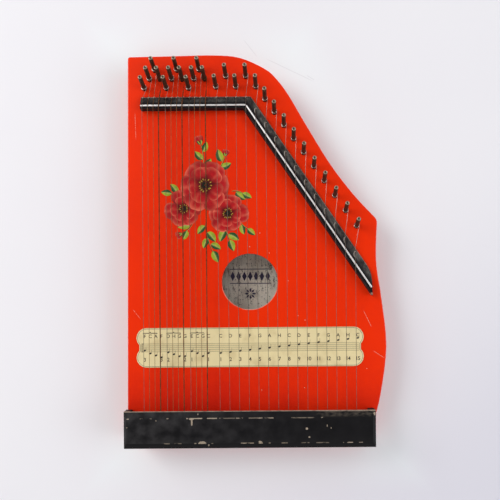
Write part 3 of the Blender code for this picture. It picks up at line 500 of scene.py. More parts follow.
@dataclass(frozen=True)
class Metal:
    """A metal with fine drawn lines and spots of tarnish."""

    name: str
    clean: Colour
    tarnish: Colour
    roughness: float
    amount: float = 0.4
    spot: float = 2.5 * MM
    metallic: float = 1.0

    def make(self) -> Material:
        """Makes the material.

        Returns:
            The material.
        """
        paint = Paint(self.name)
        spots = paint.noise(self.spot, 4.0)
        mask = spots.step(0.72 - 0.5 * self.amount, 0.8)
        return paint.done(
            {
                "Base Color": paint.mix(mask, self.clean, self.tarnish),
                "Metallic": self.metallic,
                "Roughness": mask * 0.3 + self.roughness,
                "Normal": paint.bump(spots, 0.01 * MM),
            }
        )


@dataclass(frozen=True)
class DrawnWire:
    """Old string wire, dull along its length. The attribute coil is 1 on its turns round a pin.

    Those turns are given a brighter colour, a painted glint on the coils, and are less rough.
    """

    name: str
    dull: Colour
    tarnish: Colour
    coil_glint: Colour = (0.62, 0.56, 0.50)

    def make(self) -> Material:
        """Makes the material.

        Returns:
            The material.
        """
        paint = Paint(self.name)
        coil = Value(paint, paint.attribute("coil").outputs["Fac"])
        spots = paint.noise(5 * MM, 4.0)
        aged = paint.mix(spots.step(0.4, 0.7), self.dull, self.tarnish)
        return paint.done(
            {
                # Painted glint: the coils take the brighter colour.
                "Base Color": paint.mix(coil * (1 - spots * 0.4), aged, self.coil_glint),
                "Metallic": coil * 0.2 + 0.8,
                "Roughness": spots * 0.2 + 0.38 - coil * 0.24,
            }
        )


@dataclass(frozen=True)
class PinSteel:
    """Browned steel of a tuning pin, worn bright on its end. The attribute along runs up the pin."""

    brown: Colour = (0.042, 0.027, 0.016)
    rust: Colour = (0.105, 0.052, 0.026)
    worn: Colour = (0.33, 0.285, 0.21)

    def make(self) -> Material:
        """Makes the material.

        Returns:
            The material.
        """
        paint = Paint("pin_steel")
        along = Value(paint, paint.attribute("along").outputs["Fac"])
        spots = paint.noise(1.8 * MM, 4.0)
        end = along.step(0.94, 0.99) * along.step(1.10, 1.01)
        rubbed = (end + along.step(0.55, 1.0) * spots.step(0.5, 0.75) * 0.35).least(1.0)
        dark = paint.mix(spots.step(0.4, 0.75), self.brown, self.rust)
        return paint.done(
            {
                "Base Color": paint.mix(rubbed, dark, self.worn),
                "Metallic": rubbed * 0.4 + 0.5,
                "Roughness": 0.40 - rubbed * 0.18 + spots * 0.15,
                "Normal": paint.bump(spots, 0.04 * MM),
            }
        )


@dataclass(frozen=True)
class WoundWire:
    """Fine wire wound round a core. The UV map runs round and along the string, in turns of winding."""

    bright: Colour = (0.25, 0.11, 0.042)
    dark: Colour = (0.085, 0.038, 0.018)

    def make(self) -> Material:
        """Makes the material.

        Returns:
            The material.
        """
        paint = Paint("wound_wire")
        parts = paint.node("ShaderNodeSeparateXYZ", sockets={0: paint.node("ShaderNodeUVMap").outputs["UV"]})
        turn = Value(paint, parts.outputs["X"]) + Value(paint, parts.outputs["Y"])
        ridge = (turn * (2 * math.pi)).sine() * 0.5 + 0.5
        tarnish = paint.noise(6 * MM, 3.0).step(0.35, 0.75)
        copper = paint.mix(tarnish, self.bright, self.dark)
        groove = tuple(0.4 * part for part in self.dark)
        return paint.done(
            {
                "Base Color": paint.mix(ridge.step(0.55, 0.0), copper, groove),
                "Metallic": 0.85,
                "Roughness": tarnish * 0.2 + 0.35,
                "Normal": paint.bump(ridge, 0.12 * MM),
            }
        )


@dataclass(frozen=True)
class AgedCard:
    """Cream card, darker in the band of the stave and browned at its edges."""

    cream: Colour = (0.80, 0.67, 0.37)
    stained: Colour = (0.50, 0.37, 0.17)
    band: Colour = (0.62, 0.52, 0.28)

    def make(self, low_y: float, high_y: float, band: tuple[float, float]) -> Material:
        """Makes the material for a card between two levels of Y with a darker band.

        Args:
            low_y, high_y: Y of the card's edges.
            band: the lower and upper Y of the darker band.

        Returns:
            The material.
        """
        paint = Paint("aged_card")
        blotch = paint.noise(18 * MM, 5.0)
        fibre = paint.noise(0.7 * MM, 3.0, offset=6.0)
        colour = paint.mix(blotch.step(0.45, 0.8) * 0.55, self.cream, self.stained)
        in_band = paint.y.step(band[0] - 0.3 * MM, band[0]) * paint.y.step(band[1] + 0.3 * MM, band[1])
        colour = paint.mix(in_band * 0.4, colour, self.band)
        margin = paint.y.step(low_y + 1.6 * MM, low_y).most(paint.y.step(high_y - 1.6 * MM, high_y))
        colour = paint.mix(margin * (blotch * 0.8 + 0.25), colour, self.stained)
        normal = paint.bump(fibre, 0.02 * MM)
        return paint.done({"Base Color": colour, "Roughness": fibre * 0.2 + 0.6, "Normal": normal})


@dataclass(frozen=True)
class Ink:
    """Printing ink, thin in places."""

    name: str
    colour: Colour = (0.028, 0.02, 0.014)
    faded: Colour = (0.13, 0.09, 0.055)

    def make(self) -> Material:
        """Makes the material.

        Returns:
            The material.
        """
        paint = Paint(self.name)
        thin = paint.noise(2.2 * MM, 4.0)
        colour = paint.mix(thin.step(0.55, 0.8), self.colour, self.faded)
        return paint.done({"Base Color": colour, "Roughness": thin * 0.2 + 0.5})


@dataclass(frozen=True)
class PetalPaint:
    """Printed flowers. The attribute tint holds each point's colour."""

    lacquer: Colour = (0.66, 0.035, 0.006)
    specular: float = 0.22

    def make(self) -> Material:
        """Makes the material.

        Returns:
            The material.
        """
        paint = Paint("petal_paint")
        tint = paint.attribute("tint").outputs["Color"]
        worn = paint.noise(1.6 * MM, 5.0).step(0.62, 0.80)
        grain = paint.noise(0.5 * MM, 2.0, offset=1.0)
        colour = paint.mix(worn * 0.3, tint, self.lacquer)
        sockets = {"Base Color": colour, "Roughness": grain * 0.15 + 0.40}
        return paint.done(sockets | {"Specular IOR Level": self.specular})


# Meshes from arrays


def new_piece(
    name: str, mesh: Mesh, material: Material, body: str, smooth: bool = True
) -> bpy.types.Object:
    """Puts a mesh into the scene as a piece of a body.

    Args:
        name: the piece's name.
        mesh: its mesh, in place.
        material: its only material.
        body: the moving body that carries it.
        smooth: whether its faces are shaded smooth up to a sharp angle.

    Returns:
        The object.
    """
    mesh.materials.clear()
    mesh.materials.append(material)
    if smooth:
        mesh.shade_smooth()
        mesh.set_sharp_from_angle(angle=SMOOTH_UP_TO)
    piece = bpy.data.objects.new(name, mesh)
    bpy.context.scene.collection.objects.link(piece)
    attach(piece, body)
    LOG.info("%s: %d faces on %s", name, len(mesh.polygons), body)
    return piece


def quads(rows: int, columns: int, wrap: bool) -> np.ndarray:
    """Faces of a grid of points in rows. A wrapped grid closes its columns into rings.

    Args:
        rows, columns: how many rows there are, and points in a row.
        wrap: whether the last column joins the first.

    Returns:
        Four point numbers for each face.
    """
    row, column = np.meshgrid(np.arange(rows - 1), np.arange(columns - (not wrap)), indexing="ij")
    after = (column + 1) % columns
    corners = [row * columns + column, row * columns + after]
    corners += [(row + 1) * columns + after, (row + 1) * columns + column]
    return np.stack([part.ravel() for part in corners], axis=1)


def mesh_of(name: str, points: np.ndarray, faces: list) -> Mesh:
    """A mesh from points and faces, which are given so that they look outwards.

    Args:
        name: the mesh's name.
        points: an array of points by 3.
        faces: lists of point numbers.

    Returns:
        The mesh.
    """
    mesh = bpy.data.meshes.new(name)
    mesh.from_pydata(points.tolist(), [], faces)
    mesh.validate()
    return mesh


def many_grids(name: str, grids: list[np.ndarray]) -> Mesh:
    """A mesh of many separate grids of one size.

    Args:
        name: the mesh's name.
        grids: arrays of rows by columns by 3.

    Returns:
        The mesh.
    """
    rows, columns, _ = grids[0].shape
    one = quads(rows, columns, False)
    faces = np.concatenate([one + rows * columns * k for k in range(len(grids))])
    return mesh_of(name, np.concatenate([grid.reshape(-1, 3) for grid in grids]), faces.tolist())


def ringed(name: str, rings: np.ndarray) -> Mesh:
    """A closed skin over rings of points, of shape rows by columns by 3, with a cap on each end ring.

    Args:
        name: the mesh's name.
        rings: the points.

    Returns:
        The mesh.
    """
    rows, columns, _ = rings.shape
    faces = quads(rows, columns, True).tolist()
    faces.append(list(range(columns))[::-1])
    faces.append(list(range((rows - 1) * columns, rows * columns)))
    return mesh_of(name, rings.reshape(-1, 3), faces)


def square_to(axis: np.ndarray) -> tuple[np.ndarray, np.ndarray]:
    """Two directions square to an upright axis and to each other, the first of them nearest to X.

    Args:
        axis: a unit vector.

    Returns:
        The two unit vectors, which make a right-handed set with the axis.
    """
    u = np.array((1.0, 0.0, 0.0)) - axis * axis[0]
    u /= np.linalg.norm(u)
    return u, np.cross(axis, u)


def tube_rings(path: np.ndarray, radii: np.ndarray, reference: np.ndarray, sides: int) -> np.ndarray:
    """Rings of a round wire along a path.

    A ring stands square to the path's way. Its first point lies towards the cross product of the way
    and the reference, so the reference must never lie along the path.

    Args:
        path: the wire's middle line.
        radii: its radius at each point.
        reference: a direction that is never along the path.
        sides: points in a ring.

    Returns:
        An array of path points by sides by 3.
    """
    ways = np.gradient(path, axis=0)
    ways /= np.linalg.norm(ways, axis=1)[:, None]
    left = np.cross(reference, ways)
    left /= np.linalg.norm(left, axis=1)[:, None]
    up = np.cross(ways, left)
    angles = np.linspace(0, 2 * np.pi, sides, endpoint=False)
    around = np.cos(angles)[None, :, None] * left[:, None] + np.sin(angles)[None, :, None] * up[:, None]
    return path[:, None] + radii[:, None, None] * around


def round_ended(start: np.ndarray, end: np.ndarray, radius: float, ends: float, sides: int) -> np.ndarray:
    """Rings of a rod whose ends are rounded off by a quarter of a circle of the size of ends.

    Args:
        start, end: the middles of its ends.
        radius: the rod's radius.
        ends: the radius of the rounding.
        sides: points in a ring.

    Returns:
        An array of rings by sides by 3.
    """
    turn = np.linspace(0, np.pi / 2, 6)
    inset = ends * (1 - np.sin(turn))
    narrow = radius - ends + ends * np.sin(np.arccos(1 - inset / ends))
    length = np.linalg.norm(end - start)
    along = np.concatenate([inset[::-1], length - inset])
    radii = np.concatenate([narrow[::-1], narrow])
    order = np.argsort(along)
    way = (end - start) / length
    side = np.cross(way, (0.0, 0.0, 1.0))
    side /= np.linalg.norm(side)
    up = np.cross(side, way)
    angles = np.linspace(0, 2 * np.pi, sides, endpoint=False)
    around = np.cos(angles)[:, None] * side - np.sin(angles)[:, None] * up
    middle = start + along[order][:, None] * way
    return middle[:, None] + radii[order][:, None, None] * around[None]


def merged_copy(node: str, name: str) -> Mesh:
    """A copy of a node's mesh with its doubles merged, its level faces whole and no imported normals.

    Args:
        node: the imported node.
        name: the new mesh's name.

    Returns:
        The mesh.
    """
    mesh = frame["nodes"][node].data.copy()
    mesh.name = name
    bm = bmesh.new()
    bm.from_mesh(mesh)
    bmesh.ops.remove_doubles(bm, verts=bm.verts, dist=SAME_PLACE)
    bmesh.ops.dissolve_limit(bm, angle_limit=LEVEL_ANGLE, verts=bm.verts, edges=bm.edges)
    bm.to_mesh(mesh)
    bm.free()
    normals = mesh.attributes.get("custom_normal")
    if normals:
        mesh.attributes.remove(normals)
    return mesh


def softened(piece: bpy.types.Object, width: float, segments: int) -> None:
    """Rounds a piece's arrises with a Bevel modifier.

    Args:
        piece: the piece.
        width: how far the rounding reaches.
        segments: faces across it.
    """
    bevel = piece.modifiers.new("arris", "BEVEL")
    bevel.width = width
    bevel.segments = segments
    bevel.limit_method = "ANGLE"
    bevel.angle_limit = ARRIS_FROM
    bevel.harden_normals = True


# The strings' plan


@dataclass
class StringPlan:
    """Where every string runs, seen from above. Strings are numbered from the bass side."""

    first_x: float = -132.9 * MM
    chord_pitch: float = 6.55 * MM
    group_pitch: float = 27.7 * MM
    groups: int = 3
    in_group: int = 4
    chord_to_melody: float = 14.85 * MM
    melody_tail_pitch: float = 11.5 * MM
    melody_head_pitch: float = 11.66 * MM
    melody_head_shift: float = -2.2 * MM
    melody: int = 15
    straight_melody: int = 4
    straight_y: float = 170.6 * MM
    slope_angle: float = math.radians(55.84)
    plain: float = 0.25 * MM
    wound: float = 0.6 * MM
    clear: float = 0.3 * MM
    hitch_near: float = 13.5 * MM
    hitch_step: float = 6.0 * MM
    hitch_radius: float = 0.9 * MM
    hitch_wire: float = 2.0 * MM
    hook_end: float = 3.0 * MM
    pin_radius: float = 2.5 * MM
    winding_start: float = 1.9 * MM
    winding_step: float = 1.0 * MM
    winding_turns: float = 2.25
    points_per_turn: int = 24
    falls: tuple[float, float] = (0.5714, 0.6)
    slope_starts: float = 1.8 * MM
    straight_notch: float = 12.0 * MM
    sloping_notch: float = 8.4 * MM
    board_top: float = field(init=False)
    tail_y: float = field(init=False)
    rod_z: float = field(init=False)
    rod_radius: float = field(init=False)
    crest_z: float = field(init=False)
    pins: list[tuple[np.ndarray, np.ndarray, str]] = field(init=False)

    def __post_init__(self) -> None:
        """Reads the rods' height and the tail rod's place from the frame."""
        low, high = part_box("tail_rod")
        self.tail_y = (low.y + high.y) / 2
        self.rod_z = (low.z + high.z) / 2
        self.rod_radius = (high.z - low.z) / 2
        self.board_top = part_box("soundboard")[1].z
        self.crest_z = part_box("top_bridge")[1].z
        pins = [joint for joint in frame["joints"] if joint["type"] == "hinge"]
        self.pins = [(np.array(pin["pos_m"]), np.array(pin["axis"]), pin["child"]) for pin in pins]

    @property
    def chords(self) -> int:
        """How many chord strings there are."""
        return self.groups * self.in_group

    @property
    def winding_points(self) -> int:
        """How many points a winding has."""
        return int(self.winding_turns * self.points_per_turn) + 1

    @property
    def corner_x(self) -> float:
        """X of the corner where the two rods meet, under the last straight melody string."""
        return self.head_x(self.chords + self.straight_melody - 1)

    def chord_x(self, number: int) -> float:
        """X of a chord string."""
        group, place = divmod(number, self.in_group)
        return self.first_x + group * self.group_pitch + place * self.chord_pitch

    def tail_x(self, number: int) -> float:
        """X of a string over the tail rod.

        Args:
            number: the string's number.

        Returns:
            X.
        """
        if number < self.chords:
            return self.chord_x(number)
        start = self.chord_x(self.chords - 1) + self.chord_to_melody
        return start + (number - self.chords) * self.melody_tail_pitch

    def head_x(self, number: int) -> float:
        """X of a string over the top rods.

        Args:
            number: the string's number.

        Returns:
            X.
        """
        if number < self.chords:
            return self.chord_x(number)
        start = self.chord_x(self.chords - 1) + self.chord_to_melody + self.melody_head_shift
        return start + (number - self.chords) * self.melody_head_pitch

    def head_y(self, number: int) -> float:
        """Y of the rod under a string at the head."""
        past = max(0.0, self.head_x(number) - self.corner_x)
        return self.straight_y - past * math.tan(self.slope_angle)

    def is_sloping(self, number: int) -> bool:
        """Whether a string crosses the sloping leg of the bridge."""
        return self.head_x(number) > self.corner_x + 0.01 * MM

    def square(self, number: int) -> np.ndarray:
        """The direction across the bridge, towards the pins, where a string crosses it."""
        angle = self.slope_angle if self.is_sloping(number) else 0.0
        return np.array((math.sin(angle), math.cos(angle)))

    def bridge_z(self, number: int, x: np.ndarray, y: np.ndarray) -> np.ndarray:
        """Height of the bridge's pin side over points near a string: it falls evenly away from the rod.

        Args:
            number: the string's number.
            x, y: the points.

        Returns:
            The heights.
        """
        side, along = self.square(number)
        across = side * (x - self.head_x(number)) + along * (y - self.head_y(number))
        return self.crest_z - self.falls[self.is_sloping(number)] * (across - self.slope_starts)

    def notch(self, number: int) -> np.ndarray:
        """The bottom of a string's notch, straight behind the place where it crosses the rod.

        Args:
            number: the string's number.

        Returns:
            The point.
        """
        away = self.sloping_notch / self.square(number)[1] if self.is_sloping(number) else self.straight_notch
        x, y = self.head_x(number), self.head_y(number) + away
        return np.array((x, y, self.bridge_z(number, x, y)))

    def x_at(self, number: int, y: float) -> float:
        """X of a string between its rods, at a level of Y."""
        share = (y - self.tail_y) / (self.head_y(number) - self.tail_y)
        return self.tail_x(number) + share * (self.head_x(number) - self.tail_x(number))

    def is_wound(self, number: int) -> bool:
        """Whether a string is one of the bass strings."""
        return number < self.chords and number % self.in_group == self.in_group - 1

    def hook(self, number: int) -> np.ndarray:
        """The hook round a hitch pin, an arc of half a turn and a short straight end.

        Args:
            number: the string's number.

        Returns:
            Its points, from the free end.
        """
        radius = self.hitch_radius + self.clear + self.plain
        middle_x = self.tail_x(number) - radius
        middle_y = self.tail_y - self.hitch_near - (number % 2) * self.hitch_step
        angles = np.linspace(np.pi, 0.0, 9)
        z = np.full(9, self.board_top + self.hitch_wire)
        arc = np.stack([middle_x + radius * np.cos(angles), middle_y - radius * np.sin(angles), z], axis=1)
        return np.vstack([arc[0] + (0.0, self.hook_end, 0.0), arc])

    def bend(self, x: float, y: float, target: np.ndarray, normal: np.ndarray, lift: float) -> np.ndarray:
        """The bend over a rod: an arc from its top to where the string leaves for a lower target.

        Args:
            x, y: where the string crosses the rod.
            target: the point that the string runs to.
            normal: the level direction square to the rod.
            lift: how far the wire's middle lies from the rod's.

        Returns:
            Five points, from the top down.
        """
        way = target[:2] - (x, y)
        distance = np.linalg.norm(way)
        way = way / distance
        cross = abs(way @ normal)
        angle = math.atan2(self.rod_z + lift - target[2], distance * cross)
        turns = np.linspace(0.0, angle, 5)
        out = lift * np.sin(turns) / cross
        drop = lift * (1 - np.cos(turns))
        return np.stack([x + way[0] * out, y + way[1] * out, self.rod_z + lift - drop], axis=1)

    def winding(self, number: int, source: np.ndarray) -> np.ndarray:
        """The turns round a tuning pin, a helix that starts where the string first touches it.

        Args:
            number: the string's number.
            source: the point that the string comes from.

        Returns:
            The points, from the first touch up.
        """
        base, axis, _ = self.pins[number]
        u, v = square_to(axis)
        radius = self.pin_radius + self.clear + self.plain
        start = base + axis * self.winding_start
        reach = source - start
        first = math.atan2(reach @ v, reach @ u) + math.acos(radius / math.hypot(reach @ u, reach @ v))
        steps = np.arange(self.winding_points) / self.points_per_turn
        angles = first + 2 * np.pi * steps
        rise = start + axis * (self.winding_step * steps)[:, None]
        return rise + radius * (np.cos(angles)[:, None] * u + np.sin(angles)[:, None] * v)

    def route(self, number: int) -> tuple[np.ndarray, np.ndarray]:
        """Points of a string from its hook to its winding, and the wire's radius at each.

        Args:
            number: the string's number.

        Returns:
            The points and the radii.
        """
        thick = self.wound if self.is_wound(number) else self.plain
        lift = self.rod_radius + self.clear + thick
        if number < self.chords and not self.is_wound(number):
            lift = self.rod_radius + self.plain * 0.6
        hook = self.hook(number)
        tail_lift = self.rod_radius + self.clear + thick
        tail = self.bend(self.tail_x(number), self.tail_y, hook[-1], np.array((0.0, 1.0)), tail_lift)[::-1]
        x, y = self.head_x(number), self.head_y(number)
        notch = self.notch(number) + (0.0, 0.0, self.clear + thick)
        turns = self.winding(number, notch)
        head = self.bend(x, y, notch, self.square(number), lift)
        arrive, leave = notch - head[-1], turns[0] - notch
        arrive, leave = arrive / np.linalg.norm(arrive), leave / np.linalg.norm(leave)
        seat = np.stack([notch - arrive * self.plain * 3, notch, notch + leave * self.plain * 3])
        span = tail[-1] + (head[0] - tail[-1]) * np.linspace(0.02, 0.98, 12)[:, None]
        if thick == self.plain:
            path = np.vstack([hook, tail, span, head, seat, turns])
            return path, np.full(len(path), thick)
        fall = hook[-1] + (tail[0] - hook[-1]) * np.array((0.4, 0.44, 0.48))[:, None]
        rise = seat[-1] + (turns[0] - seat[-1]) * np.array((0.3, 0.34, 0.38))[:, None]
        path = np.vstack([hook, fall, tail, span, head, seat, rise, turns])
        middle = len(tail) + len(span) + len(head) + len(seat)
        shape = [self.plain] * (len(hook) + 1) + [thick * 0.7] + [thick] * (middle + 2)
        shape += [thick * 0.7] + [self.plain] * (len(turns) + 1)
        return path, np.array(shape)


# Sub-assemblies


@dataclass(frozen=True)
class Lamp:
    """A square area lamp that looks at the middle of the zither."""

    name: str
    place: tuple[float, float, float]
    size: float
    watts: float
    colour: Colour

    def light(self) -> None:
        """Puts the lamp into the scene."""
        light = bpy.data.lights.new(self.name, "AREA")
        light.shape = "SQUARE"
        light.size = self.size
        light.energy = self.watts
        light.color = self.colour
        lamp = bpy.data.objects.new(self.name, light)
        lamp.location = self.place
        lamp.rotation_euler = (-Vector(self.place)).to_track_quat("-Z", "Y").to_euler()
        bpy.context.scene.collection.objects.link(lamp)


@dataclass
class Stage:
    """The floor, the light and the camera."""

    picture: int = 500
    nadir_point: tuple[float, float] = (258.0, 310.0)
    nadir: tuple[float, float] = (2.36 * MM, -72.29 * MM)
    above_board: float = 640 * MM
    points_per_metre: float = 1 / (1.2 * MM)
    roll: float = math.radians(-0.45)
    sensor: float = 36.0
    clip_start: float = 0.01
    floor_half: float = 3.0
    grey_tones: tuple[Colour, Colour] = ((0.83, 0.82, 0.87), (0.88, 0.87, 0.905))
    painted_shade_tone: Colour = (0.70, 0.69, 0.77)
    painted_light_tone: Colour = (0.89, 0.955, 0.98)
    mark_tone: Colour = (0.45, 0.44, 0.50)
    near_reach: float = 80 * MM
    body_half: tuple[float, float] = (150 * MM, 234 * MM)
    cut_way: tuple[float, float] = (0.878, 0.478)
    cut_reach: float = 144.6 * MM
    mark_half: float = 0.5 * MM
    floor_marks: tuple[tuple[tuple[float, float], tuple[float, float]], ...] = (
        ((-14.4 * MM, 273.0 * MM), (5.0 * MM, 248.0 * MM)),
        ((11.0 * MM, 249.0 * MM), (79.0 * MM, 216.0 * MM)),
        ((66.0 * MM, 226.0 * MM), (77.0 * MM, 219.0 * MM)),
    )
    lamps: tuple[Lamp, ...] = (
        Lamp("window", (-1.85, 0.95, 1.75), 1.4, 33.0, (1.0, 0.985, 0.96)),
        Lamp("fill", (2.1, -0.3, 1.5), 1.6, 18.0, (0.96, 0.97, 1.0)),
    )
    wall_light: float = 0.87
    ceiling_light: float = 0.06
    ceiling_starts: float = 0.70
    ceiling_full: float = 0.93

    def build(self, board_top: float) -> None:
        """Makes the floor, the lights, the world and the camera.

        Args:
            board_top: the soundboard's height.
        """
        self.floor()
        for lamp in self.lamps:
            lamp.light()
        self.room()
        self.camera(board_top)

    def floor(self) -> None:
        """A pale level floor, with painted light that makes it paler in the shadow round the body, and
        painted shade that makes it dimmer to the lower right.
        """
        corners = np.array([(-1.0, -1.0, 0.0), (1.0, -1.0, 0.0), (1.0, 1.0, 0.0), (-1.0, 1.0, 0.0)])
        mesh = mesh_of("floor", corners * self.floor_half, [[0, 1, 2, 3]])
        paint = Paint("pale_floor")
        cloud = paint.noise(0.25, 3.0)
        # Painted shade: the floor grows dimmer to the lower right.
        dim = ((paint.x - paint.y) * 0.5 + cloud * 0.1).step(0.10, 0.36)
        tone = paint.mix(cloud, *self.grey_tones)
        tone = paint.mix(dim * 0.9, tone, self.painted_shade_tone)
        # Painted light: the floor is paler and bluer near the body, against the shadow and red bounce there.
        cut = (paint.x * self.cut_way[0] + paint.y * self.cut_way[1]) - self.cut_reach
        half_x, half_y = self.body_half
        away = (abs(paint.x) - half_x).most(abs(paint.y) - half_y).most(cut)
        tone = paint.mix(away.step(self.near_reach, 0.0) * 0.85, tone, self.painted_light_tone)
        for start, end in self.floor_marks:
            line = paint.scratch(start, end, self.mark_half)
            tone = paint.mix(line * cloud.step(0.2, 0.6) * 0.35, tone, self.mark_tone)
        mesh.materials.append(paint.done({"Base Color": tone, "Roughness": 0.8}))
        floor = bpy.data.objects.new("floor", mesh)
        bpy.context.scene.collection.objects.link(floor)

    def room(self) -> None:
        """The world: white walls that darken to a dim ceiling. The camera sees the walls as plain white."""
        world = bpy.data.worlds.new("room")
        world.use_nodes = True
        nodes = Nodes(world.node_tree)
        way = nodes.node("ShaderNodeTexCoord").outputs["Generated"]
        limits = {
            "Value": nodes.node("ShaderNodeSeparateXYZ", sockets={"Vector": way}).outputs["Z"],
            "From Min": self.ceiling_starts,
            "From Max": self.ceiling_full,
            "To Min": self.wall_light,
            "To Max": self.ceiling_light,
        }
        ceiling = nodes.node("ShaderNodeMapRange", {"interpolation_type": "SMOOTHSTEP"}, limits)
        seen = nodes.node("ShaderNodeLightPath").outputs["Is Camera Ray"]
        sockets = {"Factor": seen, "A": ceiling.outputs["Result"], "B": 1.0}
        strength = nodes.node("ShaderNodeMix", sockets=sockets).outputs["Result"]
        sockets = {"Color": WHITE, "Strength": strength}
        light = nodes.node("ShaderNodeBackground", sockets=sockets).outputs["Background"]
        nodes.node("ShaderNodeOutputWorld", sockets={"Surface": light})
        bpy.context.scene.world = world

    def camera(self, board_top: float) -> None:
        """Looks straight down; the point below it lies off the picture's middle, hence the shift.

        Args:
            board_top: the soundboard's height.
        """
        lens = bpy.data.cameras.new("camera")
        lens.sensor_width = self.sensor
        lens.lens = lens.sensor_width * self.above_board * self.points_per_metre / self.picture
        lens.shift_x = (self.picture / 2 - self.nadir_point[0]) / self.picture
        lens.shift_y = (self.nadir_point[1] - self.picture / 2) / self.picture
        lens.clip_start = self.clip_start
        camera = bpy.data.objects.new("camera", lens)
        camera.location = (*self.nadir, board_top + self.above_board)
        camera.rotation_euler = (0.0, 0.0, self.roll)
        bpy.context.scene.collection.objects.link(camera)
        bpy.context.scene.camera = camera


@dataclass
class Box:
    """The lacquered body: boards, sides and blocks, and the braces under the soundboard."""

    lacquered: tuple[str, ...] = (
        "soundboard",
        "back_board",
        "bass_side",
        "treble_side",
        "pin_block",
        "tail_block",
    )

    def build(self, lacquer: Material, wood: Material) -> None:
        """Dresses the body's nodes with smooth copies of themselves.

        Args:
            lacquer: the red of the outside.
            wood: the wood of the braces.
        """
        for node in self.lacquered:
            piece = new_piece(f"lacquered_{node}", merged_copy(node, node), lacquer, BODY)
            even = piece.modifiers.new("even_shading", "WEIGHTED_NORMAL")
            even.keep_sharp = True
            even.weight = 100
            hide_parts(node)
        for node in ("brace_upper", "brace_lower"):
            brace = frame["nodes"][node]
            brace.data.materials.clear()
            brace.data.materials.append(wood)


@dataclass
class Pins:
    """The tuning pins, turned on a lathe and filed square at the top."""

    radius: float = 2.5 * MM
    flat: float = 2.35 * MM
    above: float = 22.18 * MM
    below: float = 17.0 * MM
    square: float = 9.0 * MM
    round_off: float = 0.6 * MM
    no_flat: float = 9.0
    sides: int = 32
    seed: int = 27
    set_by: float = 0.28

    def rings(self) -> tuple[np.ndarray, np.ndarray]:
        """Rings of a pin about Z, and how far up the pin each lies.

        A ring is a circle whose points are held back to the flats: x is radius times cos, y is radius
        times sin, each no further out than the flat.

        Returns:
            The rings, and for each its height as a share, from 1.05 on in the dimple.
        """
        top, foot = self.above, -self.below
        shoulder, free = top - self.square, self.no_flat
        rows = [
            (0.0, foot, free),
            (self.radius - self.round_off, foot, free),
            (self.radius, foot + self.round_off, free),
            (self.radius, 0.0, free),
            (self.radius, shoulder - 1.6 * MM, free),
            (self.radius, shoulder - 1.2 * MM, self.radius),
            (self.radius, shoulder - 0.2 * MM, self.flat + 0.12 * MM),
            (self.radius, shoulder + 0.4 * MM, self.flat),
            (self.radius, top - 1.0 * MM, self.flat),
            (self.radius - 0.05 * MM, top - 0.55 * MM, self.flat),
            (self.radius - 0.25 * MM, top - 0.2 * MM, self.flat - 0.1 * MM),
            (self.radius - self.round_off, top, self.flat - 0.35 * MM),
            (1.55 * MM, top - 0.02 * MM, free),
            (1.35 * MM, top - 0.15 * MM, free),
            (0.75 * MM, top - 0.6 * MM, free),
            (0.0, top - 0.7 * MM, free),
        ]
        radii, heights, flats = (np.array(column) for column in zip(*rows))
        angles = np.linspace(0, 2 * np.pi, self.sides, endpoint=False)
        x = np.clip(radii[:, None] * np.cos(angles), -flats[:, None], flats[:, None])
        y = np.clip(radii[:, None] * np.sin(angles), -flats[:, None], flats[:, None])
        z = np.broadcast_to(heights[:, None], x.shape)
        steps = np.clip(heights / self.above, 0.0, 1.0)
        steps[-3:] = (1.05, 1.2, 1.3)
        return np.stack([x, y, z], axis=2), steps

    def build(self, plan: StringPlan, steel: Material) -> None:
        """Makes each pin in its hole, with a tiny turn of its own.

        Args:
            plan: the strings' plan.
            steel: the pins' material.
        """
        rings, steps = self.rings()
        rng = np.random.default_rng(self.seed)
        for number, (base, axis, body) in enumerate(plan.pins, 1):
            u, v = square_to(axis)
            turn = np.pi / 4 + rng.uniform(-self.set_by, self.set_by)
            across = math.cos(turn) * u + math.sin(turn) * v
            along = math.cos(turn) * v - math.sin(turn) * u
            placed = base + rings @ np.stack([across, along, axis])
            rows, columns, _ = placed.shape
            inner = placed[1:-1].reshape(-1, 3)
            points = np.vstack([inner, placed[0, :1], placed[-1, :1]])
            here = np.arange(columns)
            after, middle = (here + 1) % columns, np.full(columns, len(inner))
            last = (rows - 3) * columns
            foot = np.stack([after, here, middle], axis=1)
            end = np.stack([last + here, last + after, middle + 1], axis=1)
            faces = quads(rows - 2, columns, True).tolist() + foot.tolist() + end.tolist()
            mesh = mesh_of(f"pin_{number:02d}", points, faces)
            level = mesh.attributes.new("along", "FLOAT", "POINT")
            level.data.foreach_set("value", np.concatenate([np.repeat(steps[1:-1], columns), steps[[0, -1]]]))
            pin = new_piece(f"steel_pin_{number:02d}", mesh, steel, body)
            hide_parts(f"tuning_pin_{number:02d}")


